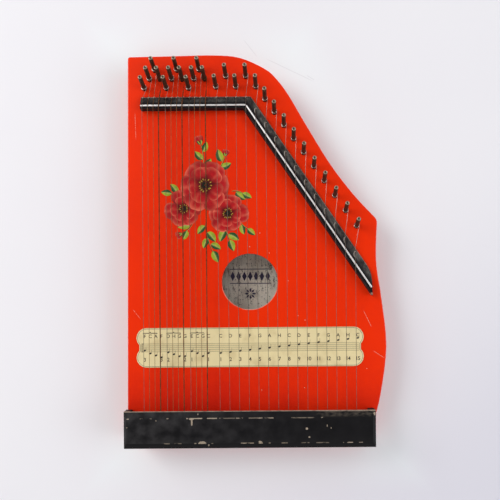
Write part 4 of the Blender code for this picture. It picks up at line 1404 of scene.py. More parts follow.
@dataclass
class Strings:
    """All strings as round wires, from their hooks to their windings."""

    sides: int = 10
    winding_pitch: float = 0.32 * MM

    def build(self, plan: StringPlan, steel: Material, bronze: Material, wound: Material) -> None:
        """Makes a piece for each string. The middle two of each chord are of bronze.

        Args:
            plan: the strings' plan.
            steel: plain wire.
            bronze: plain wire of another colour.
            wound: wound wire.
        """
        bass = 0
        for number in range(plan.chords + plan.melody):
            path, radii = plan.route(number)
            axis = plan.pins[number][1]
            mesh = ringed(f"wire_{number}", tube_rings(path, radii, axis, self.sides))
            self.unwrap(mesh, path)
            coil = mesh.attributes.new("coil", "FLOAT", "POINT")
            share = np.clip(np.arange(len(path)) - (len(path) - plan.winding_points) + 1, 0, 1).astype(float)
            coil.data.foreach_set("value", np.repeat(share, self.sides))
            thick = plan.is_wound(number)
            if thick:
                bass += 1
                name = f"bass_string_{bass}"
            elif number < plan.chords:
                name = f"chord_string_{number + 1:02d}"
            else:
                name = f"melody_string_{number - plan.chords + 1:02d}"
            plain = bronze if number < plan.chords and number % plan.in_group else steel
            piece = new_piece(f"wire_{name}", mesh, wound if thick else plain, BODY)
            if thick or number >= plan.chords:
                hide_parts(name)

    def unwrap(self, mesh: Mesh, path: np.ndarray) -> None:
        """Adds a UV map: round the wire, and along it in turns of winding.

        Args:
            mesh: a string's mesh.
            path: its middle line.
        """
        lengths = np.concatenate([[0.0], np.cumsum(np.linalg.norm(np.diff(path, axis=0), axis=1))])
        corner = np.empty(len(mesh.loops), np.int32)
        mesh.loops.foreach_get("vertex_index", corner)
        row, column = np.divmod(corner, self.sides)
        layer = mesh.uv_layers.new(name="wire")
        uv = np.stack([column / self.sides, lengths[row] / self.winding_pitch], axis=1)
        layer.data.foreach_set("uv", uv.ravel())


@dataclass
class Bridges:
    """The top bridge with its two rods, and the tail bridge with its rod under the cover."""

    rod_sides: int = 24
    arris: float = 0.45 * MM
    chip_at_tip: float = 3.0 * MM
    low_edge: float = 40.8 * MM
    rod_past: float = 2.0 * MM
    # Grey of dust and painted sheen on the bridge's pin side.
    dust_and_sheen_grey: Colour = (0.115, 0.108, 0.098)
    rim: float = 0.45 * MM
    rim_aside: float = 0.5 * MM
    rim_turn: tuple[float, float] = (40.0, 195.0)
    straight_rim: tuple[float, float, float] = (0.9 * MM, 1.1 * MM, 0.6 * MM)
    sloping_rim: tuple[float, float, float] = (1.7 * MM, 4.2 * MM, 4.0 * MM)
    rod_end: float = 0.25 * MM
    corner_gap: float = 0.35 * MM
    slope_gap: float = 0.75 * MM

    def build(self, plan: StringPlan, black: BlackPaint, nickel: Material, wood: Material) -> None:
        """Makes the bridges and rods.

        Args:
            plan: the strings' plan.
            black: the top bridge's finish.
            nickel: the rods' material.
            wood: the tail bridge's.
        """
        material = self.bridge_paint(plan, black)
        bridge = new_piece("black_bridge", merged_copy("top_bridge", "black_bridge"), material, BODY)
        softened(bridge, self.arris, 2)
        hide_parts("top_bridge")
        tail = new_piece("wooden_tail_bridge", merged_copy("tail_bridge", "tail_bridge"), wood, BODY)
        softened(tail, self.arris, 2)
        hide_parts("tail_bridge")
        self.rods(plan, nickel)
        self.notches(plan, NotchRim().make(plan.straight_y))

    def bridge_paint(self, plan: StringPlan, black: BlackPaint) -> Material:
        """The bridge's black paint: deep beside the rod, grey on the pin side with dust and a painted sheen,
        worn along its edges.

        Args:
            plan: the strings' plan.
            black: the finish.

        Returns:
            The material.
        """
        low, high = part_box("top_bridge")
        paint = Paint(black.name)
        fine = paint.noise(1.1 * MM, 4.0, offset=9.0)
        streaks = paint.noise(1.8 * MM, 3.0, paint.stretched(1.0, 0.15, 1.0), 4.0)
        sine, cosine = math.sin(plan.slope_angle), math.cos(plan.slope_angle)
        straight = paint.y - plan.straight_y
        sloping = (paint.x - plan.corner_x) * sine + straight * cosine
        away = straight.most(sloping)
        pin_side = away.step(2.5 * MM, 6.0 * MM)
        on_slope = paint.x.step(plan.corner_x - 4 * MM, plan.corner_x + 6 * MM)
        mottled = (streaks * 0.6 + fine * 0.4).step(0.34, 0.66)
        # Dust and painted sheen: the pin side is greyed as if its slope caught the light, more on the sloping
        # leg.
        dust_and_sheen = pin_side * (mottled * 0.9 + 0.25) * (on_slope * 0.4 + 0.6)
        front = away.step(-2.5 * MM, -5.0 * MM)
        dust_and_sheen = dust_and_sheen.most(front * mottled * 0.35)
        edge = Cover.line(paint.z, self.low_edge, 0.75 * MM) * away.step(7 * MM, 9 * MM)
        wear = edge * fine.step(0.30, 0.55) * 0.34
        foot = paint.z.step(low.z + 0.9 * MM, low.z + 0.2 * MM) * away.step(-1 * MM, -3 * MM)
        wear = wear.most(foot * fine.step(0.45, 0.6) * 0.3)
        tip = paint.blob(high.x - 1.0 * MM, low.y + 2.0 * MM, 3.0 * MM, self.chip_at_tip, fine)
        dust_and_sheen_grey = replace(black, dust_and_sheen_grey=self.dust_and_sheen_grey)
        return paint.done(dust_and_sheen_grey.colours(paint, wear.most(tip * 0.6), dust_and_sheen.least(1.0) * 1.4))

    def notches(self, plan: StringPlan, wood: Material) -> None:
        """Makes the pale rims round the strings' notches in the bridge's pin side, as one piece.

        A rim follows part of an ellipse round the notch: its middle line is the notch plus width times
        cosine to the side and length times sine along the string, and its cross-section is half a circle.
        It narrows to nothing at both ends.

        Args:
            plan: the strings' plan.
            wood: the rims' material.
        """
        t = np.linspace(0.0, 1.0, 13)
        round_it = np.linspace(0.0, np.pi, 5)
        points = []
        for number in range(plan.chords + plan.melody):
            sloping = plan.is_sloping(number)
            x, y, _ = plan.notch(number)
            width, length, back = self.sloping_rim if sloping else self.straight_rim
            angle = np.radians(self.rim_turn[0] + self.rim_turn[1] * t)
            thick = self.rim * np.sin(np.pi * t) ** 0.5 * (1.0 if sloping else 1.3)
            away = np.stack([np.cos(angle), np.sin(angle)], axis=1)
            flat = np.cos(round_it)[None, :, None] * thick[:, None, None] * away[:, None]
            flat = flat + (away * (width, length) + (x + self.rim_aside, y - back))[:, None]
            lift = np.sin(round_it)[None, :] * thick[:, None] * 0.7
            z = plan.bridge_z(number, flat[..., 0], flat[..., 1]) + lift - 0.03 * MM
            points.append(np.dstack([flat, z]))
        piece = new_piece("string_notches", many_grids("string_notches", points), wood, BODY)

    def rods(self, plan: StringPlan, nickel: Material) -> None:
        """Makes the three rods with slightly rounded ends.

        Args:
            plan: the strings' plan.
            nickel: their material.
        """
        z = plan.rod_z
        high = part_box("sloping_rod")[1]
        slope = np.array((math.cos(plan.slope_angle), -math.sin(plan.slope_angle), 0.0))
        corner = np.array((plan.corner_x, plan.straight_y, z))
        length = (high.x - plan.rod_radius * math.sin(plan.slope_angle) - plan.corner_x) / slope[0]
        gap = np.array((self.corner_gap, 0.0, 0.0))
        bass_x = plan.first_x - self.rod_past
        tail_low, tail_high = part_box("tail_rod")
        rods = {
            "straight_rod": (np.array((bass_x, plan.straight_y, z)), corner - gap, "chord_strings"),
            "sloping_rod": (corner + slope * self.slope_gap, corner + slope * length, "sloping_rod"),
            "tail_rod": (
                np.array((tail_low.x, plan.tail_y, z)),
                np.array((tail_high.x, plan.tail_y, z)),
                "tail_rod",
            ),
        }
        for name, (start, end, node) in rods.items():
            rings = round_ended(start, end, plan.rod_radius, self.rod_end, self.rod_sides)
            rod = new_piece(f"nickel_{name}", ringed(name, rings), nickel, BODY)
            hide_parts(node)


class Print:
    """Flat shapes of ink on one level, gathered into one thin piece."""

    def __init__(self, z: float) -> None:
        """Starts with nothing on a level."""
        self.bm = bmesh.new()
        self.z = z

    def shape(self, corners: Sequence[Sequence[float]]) -> None:
        """Adds a flat face with the given corners."""
        self.bm.faces.new([self.bm.verts.new((x, y, self.z)) for x, y in corners])

    def bar(self, x0: float, y0: float, x1: float, y1: float, half: float) -> None:
        """Adds a line of twice the half width.

        Args:
            x0, y0, x1, y1: its ends.
            half: its half width.
        """
        way = Vector((x1 - x0, y1 - y0)).normalized()
        side = Vector((-way.y, way.x)) * half
        corners = [(x0 - side.x, y0 - side.y), (x1 - side.x, y1 - side.y)]
        self.shape(corners + [(x1 + side.x, y1 + side.y), (x0 + side.x, y0 + side.y)])

    def add(self, mesh: Mesh) -> None:
        """Adds a mesh that nothing else needs."""
        self.bm.from_mesh(mesh)
        bpy.data.meshes.remove(mesh)

    def piece(self, name: str, ink: Material) -> bpy.types.Object:
        """Makes the shapes one piece of the body.

        Args:
            name: the piece's name.
            ink: its material.

        Returns:
            The piece.
        """
        mesh = bpy.data.meshes.new(name)
        self.bm.to_mesh(mesh)
        self.bm.free()
        return new_piece(name, mesh, ink, BODY, smooth=False)


class Mark(Enum):
    """What is printed over a string on the note strip."""

    LETTER = "letter"
    NUMBER = "number"


@dataclass
class NoteStrip:
    """The card under the strings, with note letters, numbers and a stave with a dot for each string."""

    letters_y: float = -103.1 * MM
    bracket_y: float = -99.2 * MM
    numbers_y: float = -131.2 * MM
    stave_top: float = -111.9 * MM
    stave_step: float = 2.4 * MM
    middle_c: float = -123.4 * MM
    letter_size: float = 5.9 * MM
    head_long: float = 1.6 * MM
    head_high: float = 1.1 * MM
    aside: float = 1.6 * MM
    spread: float = 1.018
    border: float = 1.1 * MM
    border_line: float = 0.34 * MM
    head_tilt: float = math.radians(24)
    stem: float = 4.6 * MM
    fine_half: float = 0.13 * MM
    stave_inset: tuple[float, float] = (5.5 * MM, 6.0 * MM)
    spine: tuple[float, float] = (6.8 * MM, 0.35 * MM)
    spine_foot: tuple[float, float, float] = (6.6 * MM, 8.6 * MM, 0.4 * MM)
    bracket_past: tuple[float, float] = (2.0 * MM, 1.8 * MM)
    bracket_half: float = 0.42 * MM
    bracket_drop: float = 0.7 * MM
    card_arris: float = 0.12 * MM
    stave_lines: int = 5
    number_share: float = 1.08
    bolder: float = 0.09 * MM
    lift: float = 0.02 * MM
    chord_letters: str = "FCAFDHGGECGC"
    melody_letters: str = "CDEFGAHCDEFGAHC"
    chord_steps: tuple[int, ...] = (3, 0, -2, -4, 1, -1, -3, -3, 2, 0, -3, 0)

    @property
    def stave_low(self) -> float:
        """Y of the stave's lowest line."""
        return self.stave_top - (self.stave_lines - 1) * self.stave_step

    def build(self, plan: StringPlan, card: AgedCard, ink: Ink) -> None:
        """Makes the card and its print.

        Args:
            plan: the strings' plan.
            card: the card's finish.
            ink: the print's.
        """
        low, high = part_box("note_strip")
        paper = card.make(low.y, high.y, (self.stave_low, self.stave_top))
        piece = new_piece("printed_card", merged_copy("note_strip", "printed_card"), paper, BODY)
        softened(piece, self.card_arris, 2)
        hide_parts("note_strip")
        self.print_on(plan, high.z + self.lift, low.x, high.x, ink.make())

    def print_on(self, plan: StringPlan, z: float, low_x: float, high_x: float, ink: Material) -> None:
        """Prints lines, notes, letters and numbers on the card, as one thin piece.

        Args:
            plan: the strings' plan.
            z: the level of the print.
            low_x, high_x: X of the card's ends.
            ink: the print's material.
        """
        sheet = Print(z)
        for k in range(self.stave_lines):
            y = self.stave_top - k * self.stave_step
            sheet.bar(low_x + self.stave_inset[0], y, high_x - self.stave_inset[1], y, self.fine_half)
        for number in range(plan.chords + plan.melody):
            chord = number < plan.chords
            step = self.chord_steps[number] if chord else number - plan.chords
            y = self.middle_c + step * self.stave_step / 2
            self.note(sheet, self.beside(plan, number, y), y)
            text = self.chord_letters[number] if chord else self.melody_letters[number - plan.chords]
            self.letter(sheet, plan, number, text, Mark.LETTER)
            if not chord:
                self.letter(sheet, plan, number, str(number - plan.chords + 1), Mark.NUMBER)
        for group in range(plan.groups):
            first = group * plan.in_group
            for number in (first, first + plan.in_group - 1):
                self.letter(sheet, plan, number, str(plan.groups - group), Mark.NUMBER)
            start = self.beside(plan, first, self.bracket_y) - self.bracket_past[0]
            end = self.beside(plan, first + plan.in_group - 2, self.bracket_y) + self.bracket_past[1]
            self.bracket(sheet, start, end)
        near, far, half = self.spine_foot
        for y in (self.stave_top, self.stave_low):
            sheet.bar(low_x + near, y, low_x + far, y, half)
        left = low_x + self.spine[0]
        sheet.bar(left, self.stave_low, left, self.stave_top, self.spine[1])
        self.frame_line(sheet)
        piece = sheet.piece("strip_print", ink)

    def beside(self, plan: StringPlan, number: int, y: float) -> float:
        """The place of a string's print: the print is spread a little wider than the strings."""
        return plan.x_at(number, y) * self.spread + self.aside

    def frame_line(self, sheet: Print) -> None:
        """Adds a fine line all round the card, an even way inside its outline.

        Args:
            sheet: the print.
        """
        ring = bmesh.new()
        mesh = merged_copy("note_strip", "outline")
        ring.from_mesh(mesh)
        bpy.data.meshes.remove(mesh)
        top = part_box("note_strip")[1].z
        lower = [face for face in ring.faces if face.calc_center_median().z < top - 0.02 * MM]
        bmesh.ops.delete(ring, geom=lower, context="FACES")
        for inset in (self.border, self.border_line):
            inner = list(ring.faces)
            made = bmesh.ops.inset_region(
                ring, faces=inner, thickness=inset, use_even_offset=True, use_boundary=True
            )
            outer = made["faces"] if inset == self.border else inner
            bmesh.ops.delete(ring, geom=outer, context="FACES")
        bmesh.ops.translate(ring, vec=(0.0, 0.0, sheet.z - top), verts=ring.verts)
        line = bpy.data.meshes.new("line")
        ring.to_mesh(line)
        ring.free()
        sheet.add(line)

    def bracket(self, sheet: Print, x0: float, x1: float) -> None:
        """Adds a bracket over a chord, with short ends and a small peak in its middle.

        Args:
            sheet: the print.
            x0, x1: X of its ends.
        """
        y, middle, drop = self.bracket_y, (x0 + x1) / 2, self.bracket_drop
        places = ((x0, y - drop), (x0 + drop, y), (middle - drop, y), (middle, y + 2 * drop))
        places += ((middle + drop, y), (x1 - drop, y), (x1, y - drop))
        for (xa, ya), (xb, yb) in zip(places, places[1:]):
            sheet.bar(xa, ya, xb, yb, self.bracket_half)

    def note(self, sheet: Print, x: float, y: float) -> None:
        """Adds a note: a tilted oval head, and a thin stem up its right side.

        Args:
            sheet: the print.
            x, y: the head's middle.
        """
        angles = np.linspace(0, 2 * np.pi, 16, endpoint=False)
        along, high = self.head_long * np.cos(angles), self.head_high * np.sin(angles)
        cosine, sine = math.cos(self.head_tilt), math.sin(self.head_tilt)
        ring = np.stack([x + along * cosine - high * sine, y + along * sine + high * cosine], axis=1)
        sheet.shape(ring)
        side = x + self.head_long * 0.92
        sheet.bar(side, y, side, y + self.stem, self.fine_half)

    def letter(self, sheet: Print, plan: StringPlan, number: int, text: str, mark: Mark) -> None:
        """Adds a letter or a number, centred on its string's place.

        Args:
            sheet: the print.
            plan: the strings' plan.
            number: the string's number.
            text: what is printed.
            mark: in which row it stands.
        """
        y = self.letters_y if mark is Mark.LETTER else self.numbers_y
        curve = bpy.data.curves.new("letter", "FONT")
        curve.body = text
        curve.align_x = "CENTER"
        curve.align_y = "CENTER"
        curve.size = self.letter_size * (1.0 if mark is Mark.LETTER else self.number_share)
        curve.space_character = 0.85
        curve.resolution_u = 3
        curve.offset = self.bolder
        holder = bpy.data.objects.new("letter", curve)
        mesh = bpy.data.meshes.new_from_object(holder)
        mesh.transform(Matrix.Translation((self.beside(plan, number, y), y, sheet.z)))
        sheet.add(mesh)
        bpy.data.objects.remove(holder)
        bpy.data.curves.remove(curve)


@dataclass(frozen=True)
class Stem:
    """A stem of the spray: its root and length in millimetres, and the size of the bud at its tip."""

    x: float
    y: float
    angle: float
    length: float
    bend: float
    leaves: int
    bud: float


@dataclass
class FlowerSpray:
    """A printed spray on the soundboard, drawn for this part: open poppies, buds and broad leaves."""

    lift: float = 0.03 * MM
    layer: float = 0.012 * MM
    rows: int = 13
    columns: int = 9
    light_leaf: Colour = (0.33, 0.42, 0.03)
    dark_leaf: Colour = (0.012, 0.075, 0.022)
    rib: Colour = (0.50, 0.55, 0.16)
    twig: Colour = (0.05, 0.06, 0.015)
    shadow: Colour = (0.07, 0.003, 0.004)
    crimson: Colour = (0.44, 0.006, 0.010)
    salmon: Colour = (0.84, 0.17, 0.10)
    eye: Colour = (0.012, 0.012, 0.006)
    stamen: Colour = (0.62, 0.42, 0.05)
    leaf_long: float = 14 * MM
    leaf_share: float = 0.30
    stem_half: float = 0.55 * MM
    stamens: int = 14
    seed: int = 12
    stems: tuple[Stem, ...] = (
        Stem(-62, 92, 1.45, 38, 0.45, 4, 11),
        Stem(-46, 94, 0.85, 24, 0.5, 3, 8),
        Stem(-30, 70, 0.25, 17, -0.9, 2, 0),
        Stem(-20, 36, -1.0, 17, 0.5, 2, 0),
        Stem(-36, 30, -1.5, 20, 0.45, 3, 0),
        Stem(-60, 36, -1.55, 40, 0.45, 5, 0),
        Stem(-74, 34, -2.1, 22, -0.6, 3, 8),
        Stem(-88, 66, 2.7, 14, 0.6, 2, 0),
    )
    blooms: tuple[tuple[float, float, float], ...] = ((-86, 50, 20), (-33, 44, 22), (-60, 78, 29))

    def __post_init__(self) -> None:
        """Starts with no points."""
        self.points: list[np.ndarray] = []
        self.tints: list[np.ndarray] = []
        self.height = self.lift
        self.rng = np.random.default_rng(self.seed)

    def blade(
        self,
        root: np.ndarray,
        angle: float,
        length: float,
        width: float,
        bend: float,
        belly: float = 0.5,
        fullness: float = 0.75,
    ) -> tuple[np.ndarray, np.ndarray]:
        """Adds the grid of a petal, leaf or stem.

        Its middle line leaves the root at an angle and turns by bend over its length. Its half width is
        width times sin(pi t) to the power of fullness, with t bent so that the widest place lies at belly.

        Args:
            root: where it starts.
            angle: the direction of its start.
            length, width: its length and half width.
            bend: how far it turns.
            belly: where it is widest, as a share of its length.
            fullness: how quickly it widens, less being quicker.

        Returns:
            The share along the blade and the share across it, from -1 to 1, as a column and a row.
        """
        t = np.linspace(0.0, 1.0, self.rows)
        s = np.linspace(-1.0, 1.0, self.columns)
        heading = angle + bend * t
        step = length / (self.rows - 1)
        line = root + np.cumsum(np.stack([np.cos(heading), np.sin(heading)], axis=1), axis=0) * step
        half = width * np.sin(np.pi * t ** (math.log(0.5) / math.log(belly))) ** fullness
        side = np.stack([-np.sin(heading), np.cos(heading)], axis=1)
        plane = line[:, None] + side[:, None] * (half[:, None] * s)[:, :, None]
        dome = self.layer * (1 - s**2)[None, :] * np.sin(np.pi * t)[:, None]
        self.points.append(np.dstack([plane, np.full(plane.shape[:2], self.height) + dome]))
        self.height += self.layer * 0.2
        return t[:, None, None], s[None, :, None]

    def colour(self, tone: np.ndarray) -> None:
        """Adds the colours of the last blade, with a slight grain."""
        self.tints.append(tone * (0.90 + 0.20 * self.rng.random((self.rows, self.columns, 1))))

    def plain(self, tone: np.ndarray) -> None:
        """Adds one colour, or one that changes in one way only, to the last blade."""
        self.colour(np.broadcast_to(tone, (self.rows, self.columns, 3)))

    def petal(self, root: np.ndarray, angle: float, length: float, width: float, pale: float) -> None:
        """Adds a broad petal: dark at its root, crimson in its middle, with pale folds and a pale rim.

        Args:
            root: where it starts.
            angle: its direction.
            length, width: its length and half width.
            pale: how strong its light parts are.
        """
        t, s = self.blade(root, angle, length, width, self.rng.normal(0, 0.15), 0.62, 0.42)
        shadow, crimson, salmon = (np.array(part) for part in (self.shadow, self.crimson, self.salmon))
        lean = s * self.rng.choice((-1.0, 1.0))
        depth = np.clip((t - 0.16) * 2.6, 0, 1) * np.clip(1.25 - 0.7 * np.clip(lean, 0, 1), 0, 1)
        tone = shadow + (crimson - shadow) * depth
        wave = np.sin(6.0 * s + 2.0 * t + self.rng.uniform(0, 3))
        fold = np.clip(wave, 0, 1) ** 2 * np.clip(t * 2 - 0.5, 0, 1)
        rim = np.clip((t - 0.80) * 6, 0, 1) + np.abs(s) ** 9 * np.clip(t * 2 - 0.6, 0, 1)
        light = np.clip(fold * 0.55 + rim * 0.8, 0, 1) * np.clip(0.9 - 0.5 * lean, 0.3, 1)
        self.colour(tone + (salmon - tone) * np.clip(light * pale, 0, 1))

    def leaf(self, root: np.ndarray, angle: float, length: float, width: float, bend: float) -> None:
        """Adds a leaf: one half light, the other dark, a pale rib and veins that slant to its tip.

        Args:
            root: where it starts.
            angle: its direction.
            length, width: its length and half width.
            bend: how far it turns.
        """
        t, s = self.blade(root, angle, length, width, bend, 0.42)
        light, dark, rib = (np.array(part) for part in (self.light_leaf, self.dark_leaf, self.rib))
        turned = 1 if self.rng.random() < 0.5 else -1
        half = np.clip(0.5 + 3.0 * s * turned, 0, 1)
        patch = 0.25 * np.sin(7 * t + self.rng.uniform(0, 6))
        tone = light + (dark - light) * np.clip(half + patch * (1 - half), 0, 1)
        vein = np.clip(np.cos(38 * (t - 0.28 * np.abs(s))) - 0.4, 0, 1) * 0.55
        vein = np.maximum(vein * np.ones_like(s), np.exp(-((s / 0.16) ** 2)) * 0.7)
        self.colour(tone + (rib - tone) * vein)

    def stem(self, stem: Stem) -> None:
        """Adds a curved stem with leaves by turns on its two sides, and a bud or a last leaf at its tip.

        Args:
            stem: the stem.
        """
        start, length = np.array((stem.x, stem.y)) * MM, stem.length * MM
        _, s = self.blade(start, stem.angle, length, self.stem_half, stem.bend, 0.5, 0.3)
        twig, rib = np.array(self.twig), np.array(self.rib)
        self.plain(twig + (rib - twig) * np.clip(s, 0, 1))
        for k in range(stem.leaves):
            share = (k + 0.8) / (stem.leaves + 0.2)
            heading = stem.angle + stem.bend * share / 2
            place = start + length * share * np.array((math.cos(heading), math.sin(heading)))
            last = k == stem.leaves - 1
            if last and stem.bud:
                self.bud(*place, stem.angle + stem.bend, stem.bud * MM)
                continue
            turn = 0.0 if last else (0.85 if k % 2 else -0.85)
            long = self.leaf_long * self.rng.uniform(0.85, 1.15)
            heading = stem.angle + stem.bend * share + turn + self.rng.normal(0, 0.12)
            self.leaf(place, heading, long, long * self.leaf_share, -turn * 0.5)
        self.height += self.layer

    def bloom(self, x: float, y: float, size: float) -> None:
        """Adds an open poppy: two rings of broad petals, a dark eye and a ring of stamens.

        Args:
            x, y: its middle.
            size: how far its petals reach.
        """
        centre = np.array((x, y))
        for ring, (reach, petals, width) in enumerate(((1.0, 6, 0.50), (0.70, 5, 0.40))):
            for k in range(petals):
                angle = 2 * np.pi * (k + 0.5 * ring) / petals + self.rng.normal(0, 0.12)
                start = centre + 0.05 * size * np.array((math.cos(angle), math.sin(angle)))
                long = size * reach * self.rng.uniform(0.88, 1.05)
                self.petal(start, angle, long, size * width, self.rng.uniform(0.55, 1.0))
            self.height += self.layer
        eye, stamen = np.array(self.eye), np.array(self.stamen)
        for k in range(self.stamens):
            angle = 2 * np.pi * k / self.stamens + self.rng.normal(0, 0.1)
            self.blade(centre, angle, size * self.rng.uniform(0.22, 0.30), size * 0.022, 0.0, 0.8)
            share = np.clip((np.linspace(0, 1, self.rows) - 0.6) * 3, 0, 1)[:, None, None]
            self.plain(eye + (stamen - eye) * share)
        for k in range(5):
            self.blade(centre, 2 * np.pi * k / 5, size * 0.13, size * 0.08, 0.0, 0.6)
            self.plain(eye)
        self.height += self.layer

    def bud(self, x: float, y: float, angle: float, size: float) -> None:
        """Adds a bud of three petals in a green cup.

        Args:
            x, y: its foot.
            angle: its direction.
            size: its length.
        """
        root = np.array((x, y))
        for turn in (-0.35, 0.35, 0.0):
            self.petal(root, angle + turn, size, size * 0.26, 0.7)
        for turn in (-0.6, 0.6):
            self.leaf(root, angle + turn, size * 0.6, size * 0.13, -turn)

    def build(self, board_top: float, paint: Material) -> None:
        """Draws the spray and makes it one thin piece on the soundboard.

        Args:
            board_top: the soundboard's height.
            paint: the print's material.
        """
        for stem in self.stems:
            self.stem(stem)
        for x, y, size in self.blooms:
            self.bloom(x * MM, y * MM, size * MM)
        mesh = many_grids("flower_spray", [grid + (0.0, 0.0, board_top) for grid in self.points])
        tint = mesh.attributes.new("tint", "FLOAT_COLOR", "POINT")
        colours = np.concatenate([tone.reshape(-1, 3) for tone in self.tints])
        solid = np.concatenate([np.clip(colours, 0, 1), np.ones((len(colours), 1))], axis=1)
        tint.data.foreach_set("color", solid.ravel())
        piece = new_piece("flower_spray", mesh, paint, BODY)


@dataclass(frozen=True)
class AgedLabel:
    """Plain paper glued inside the box, stained, with brown specks and streaks, and a painted shadow of the
    soundhole's rim.
    """

    paper: Colour = (1.0, 0.94, 0.82)
    dirt_and_shadow_tone: Colour = (0.22, 0.15, 0.115)
    speck: Colour = (0.035, 0.022, 0.018)

    def make(self, middle_x: float) -> Material:
        """Makes the material, with a painted shadow that makes it darker left of the middle.

        Args:
            middle_x: X of the label's middle.

        Returns:
            The material.
        """
        paint = Paint("aged_label")
        stains = paint.noise(14 * MM, 5.0)
        streaks = paint.noise(2.2 * MM, 4.0, paint.stretched(1.0, 0.18, 1.0), 2.0)
        fine = paint.noise(1.3 * MM, 3.0, offset=5.0)
        # Painted shadow of the soundhole's rim: darker left of the middle and towards the upper left.
        left = (paint.x - paint.y * 0.4 + fine * 12 * MM).step(middle_x + 10 * MM, middle_x - 22 * MM) * 0.6
        dirt_and_shadow = (stains.step(0.46, 0.75) * 0.4 + streaks.step(0.50, 0.74) * 0.45 + left).least(0.9)
        colour = paint.mix(dirt_and_shadow, self.paper, self.dirt_and_shadow_tone)
        specks = (fine * 0.6 + streaks * 0.4).step(0.54, 0.62)
        colour = paint.mix(specks * 0.85, colour, self.speck)
        normal = paint.bump(fine * 0.5 + stains, 0.08 * MM)
        return paint.done({"Base Color": colour, "Roughness": fine * 0.2 + 0.7, "Normal": normal})


@dataclass
class HoleLabel:
    """A paper label on the back board under the soundhole, with a plain ornament of lozenges and rules."""

    width: float = 78 * MM
    height: float = 74 * MM
    corner: float = 5 * MM
    thick: float = 0.12 * MM
    glue: float = 0.05 * MM
    ink_lift: float = 0.03 * MM
    lozenges: int = 7
    pitch: float = 7.4 * MM
    lozenge_share: float = 0.40
    lozenge_high: float = 6 * MM
    lozenges_up: float = 8.5 * MM
    rules_up: tuple[float, float] = (17.5 * MM, -0.5 * MM)
    rule_half: float = 0.5 * MM
    petals: int = 8
    rosette_down: float = 13.5 * MM
    petal_reach: tuple[float, float, float] = (1.6 * MM, 4.4 * MM, 7.6 * MM)
    petal_half: float = 1.4 * MM

    def outline(self, x: float, y: float, inset: float) -> np.ndarray:
        """The label's rounded outline: four quarter circles, one round each corner.

        Args:
            x, y: the label's middle.
            inset: how far inside the edge it runs.

        Returns:
            The outline's points, by 2.
        """
        angles = np.linspace(0, 2 * np.pi, 32, endpoint=False) + np.pi / 64
        side = np.sign(np.stack([np.cos(angles), np.sin(angles)], axis=1))
        centre = side * (self.width / 2 - self.corner, self.height / 2 - self.corner)
        around = np.stack([np.cos(angles), np.sin(angles)], axis=1) * (self.corner - inset)
        return centre + around + (x, y)

    def build(self, x: float, y: float, level: float, ink: Material) -> None:
        """Makes the label on the level of the back board, and its print.

        Args:
            x, y: the label's middle.
            level: the back board's inner face.
            ink: the print's material.
        """
        rings = []
        for inset, z in ((0.0, 0.0), (0.0, self.thick * 0.7), (self.thick, self.thick)):
            ring = self.outline(x, y, inset)
            rings.append(np.column_stack([ring, np.full(len(ring), level + self.glue + z)]))
        mesh = ringed("aged_label", np.stack(rings))
        piece = new_piece("aged_label", mesh, AgedLabel().make(x), BODY)
        self.ornament(x, y, level + self.glue + self.thick + self.ink_lift, ink)

    def ornament(self, x: float, y: float, z: float, ink: Material) -> None:
        """A row of lozenges between two rules, and a small ring of eight petals under them.

        Args:
            x, y: the label's middle.
            z: the level of the print.
            ink: the print's material.
        """
        sheet = Print(z)
        half, level, high = self.pitch * self.lozenge_share, y + self.lozenges_up, self.lozenge_high
        for k in range(self.lozenges):
            middle = x + (k - (self.lozenges - 1) / 2) * self.pitch
            low, top = (middle, level - high), (middle, level + high)
            sheet.shape([(middle - half, level), low, (middle + half, level), top])
        reach = self.lozenges * self.pitch / 2
        for rule in self.rules_up:
            sheet.bar(x - reach, y + rule, x + reach, y + rule, self.rule_half)
        near, widest, far = self.petal_reach
        centre = np.array((x, y - self.rosette_down))
        for k in range(self.petals):
            angle = 2 * np.pi * k / self.petals
            way = np.array((math.cos(angle), math.sin(angle)))
            side = np.array((-way[1], way[0])) * self.petal_half
            petal = [centre + way * near, centre + way * widest - side]
            sheet.shape(petal + [centre + way * far, centre + way * widest + side])
        piece = sheet.piece("label_print", ink)


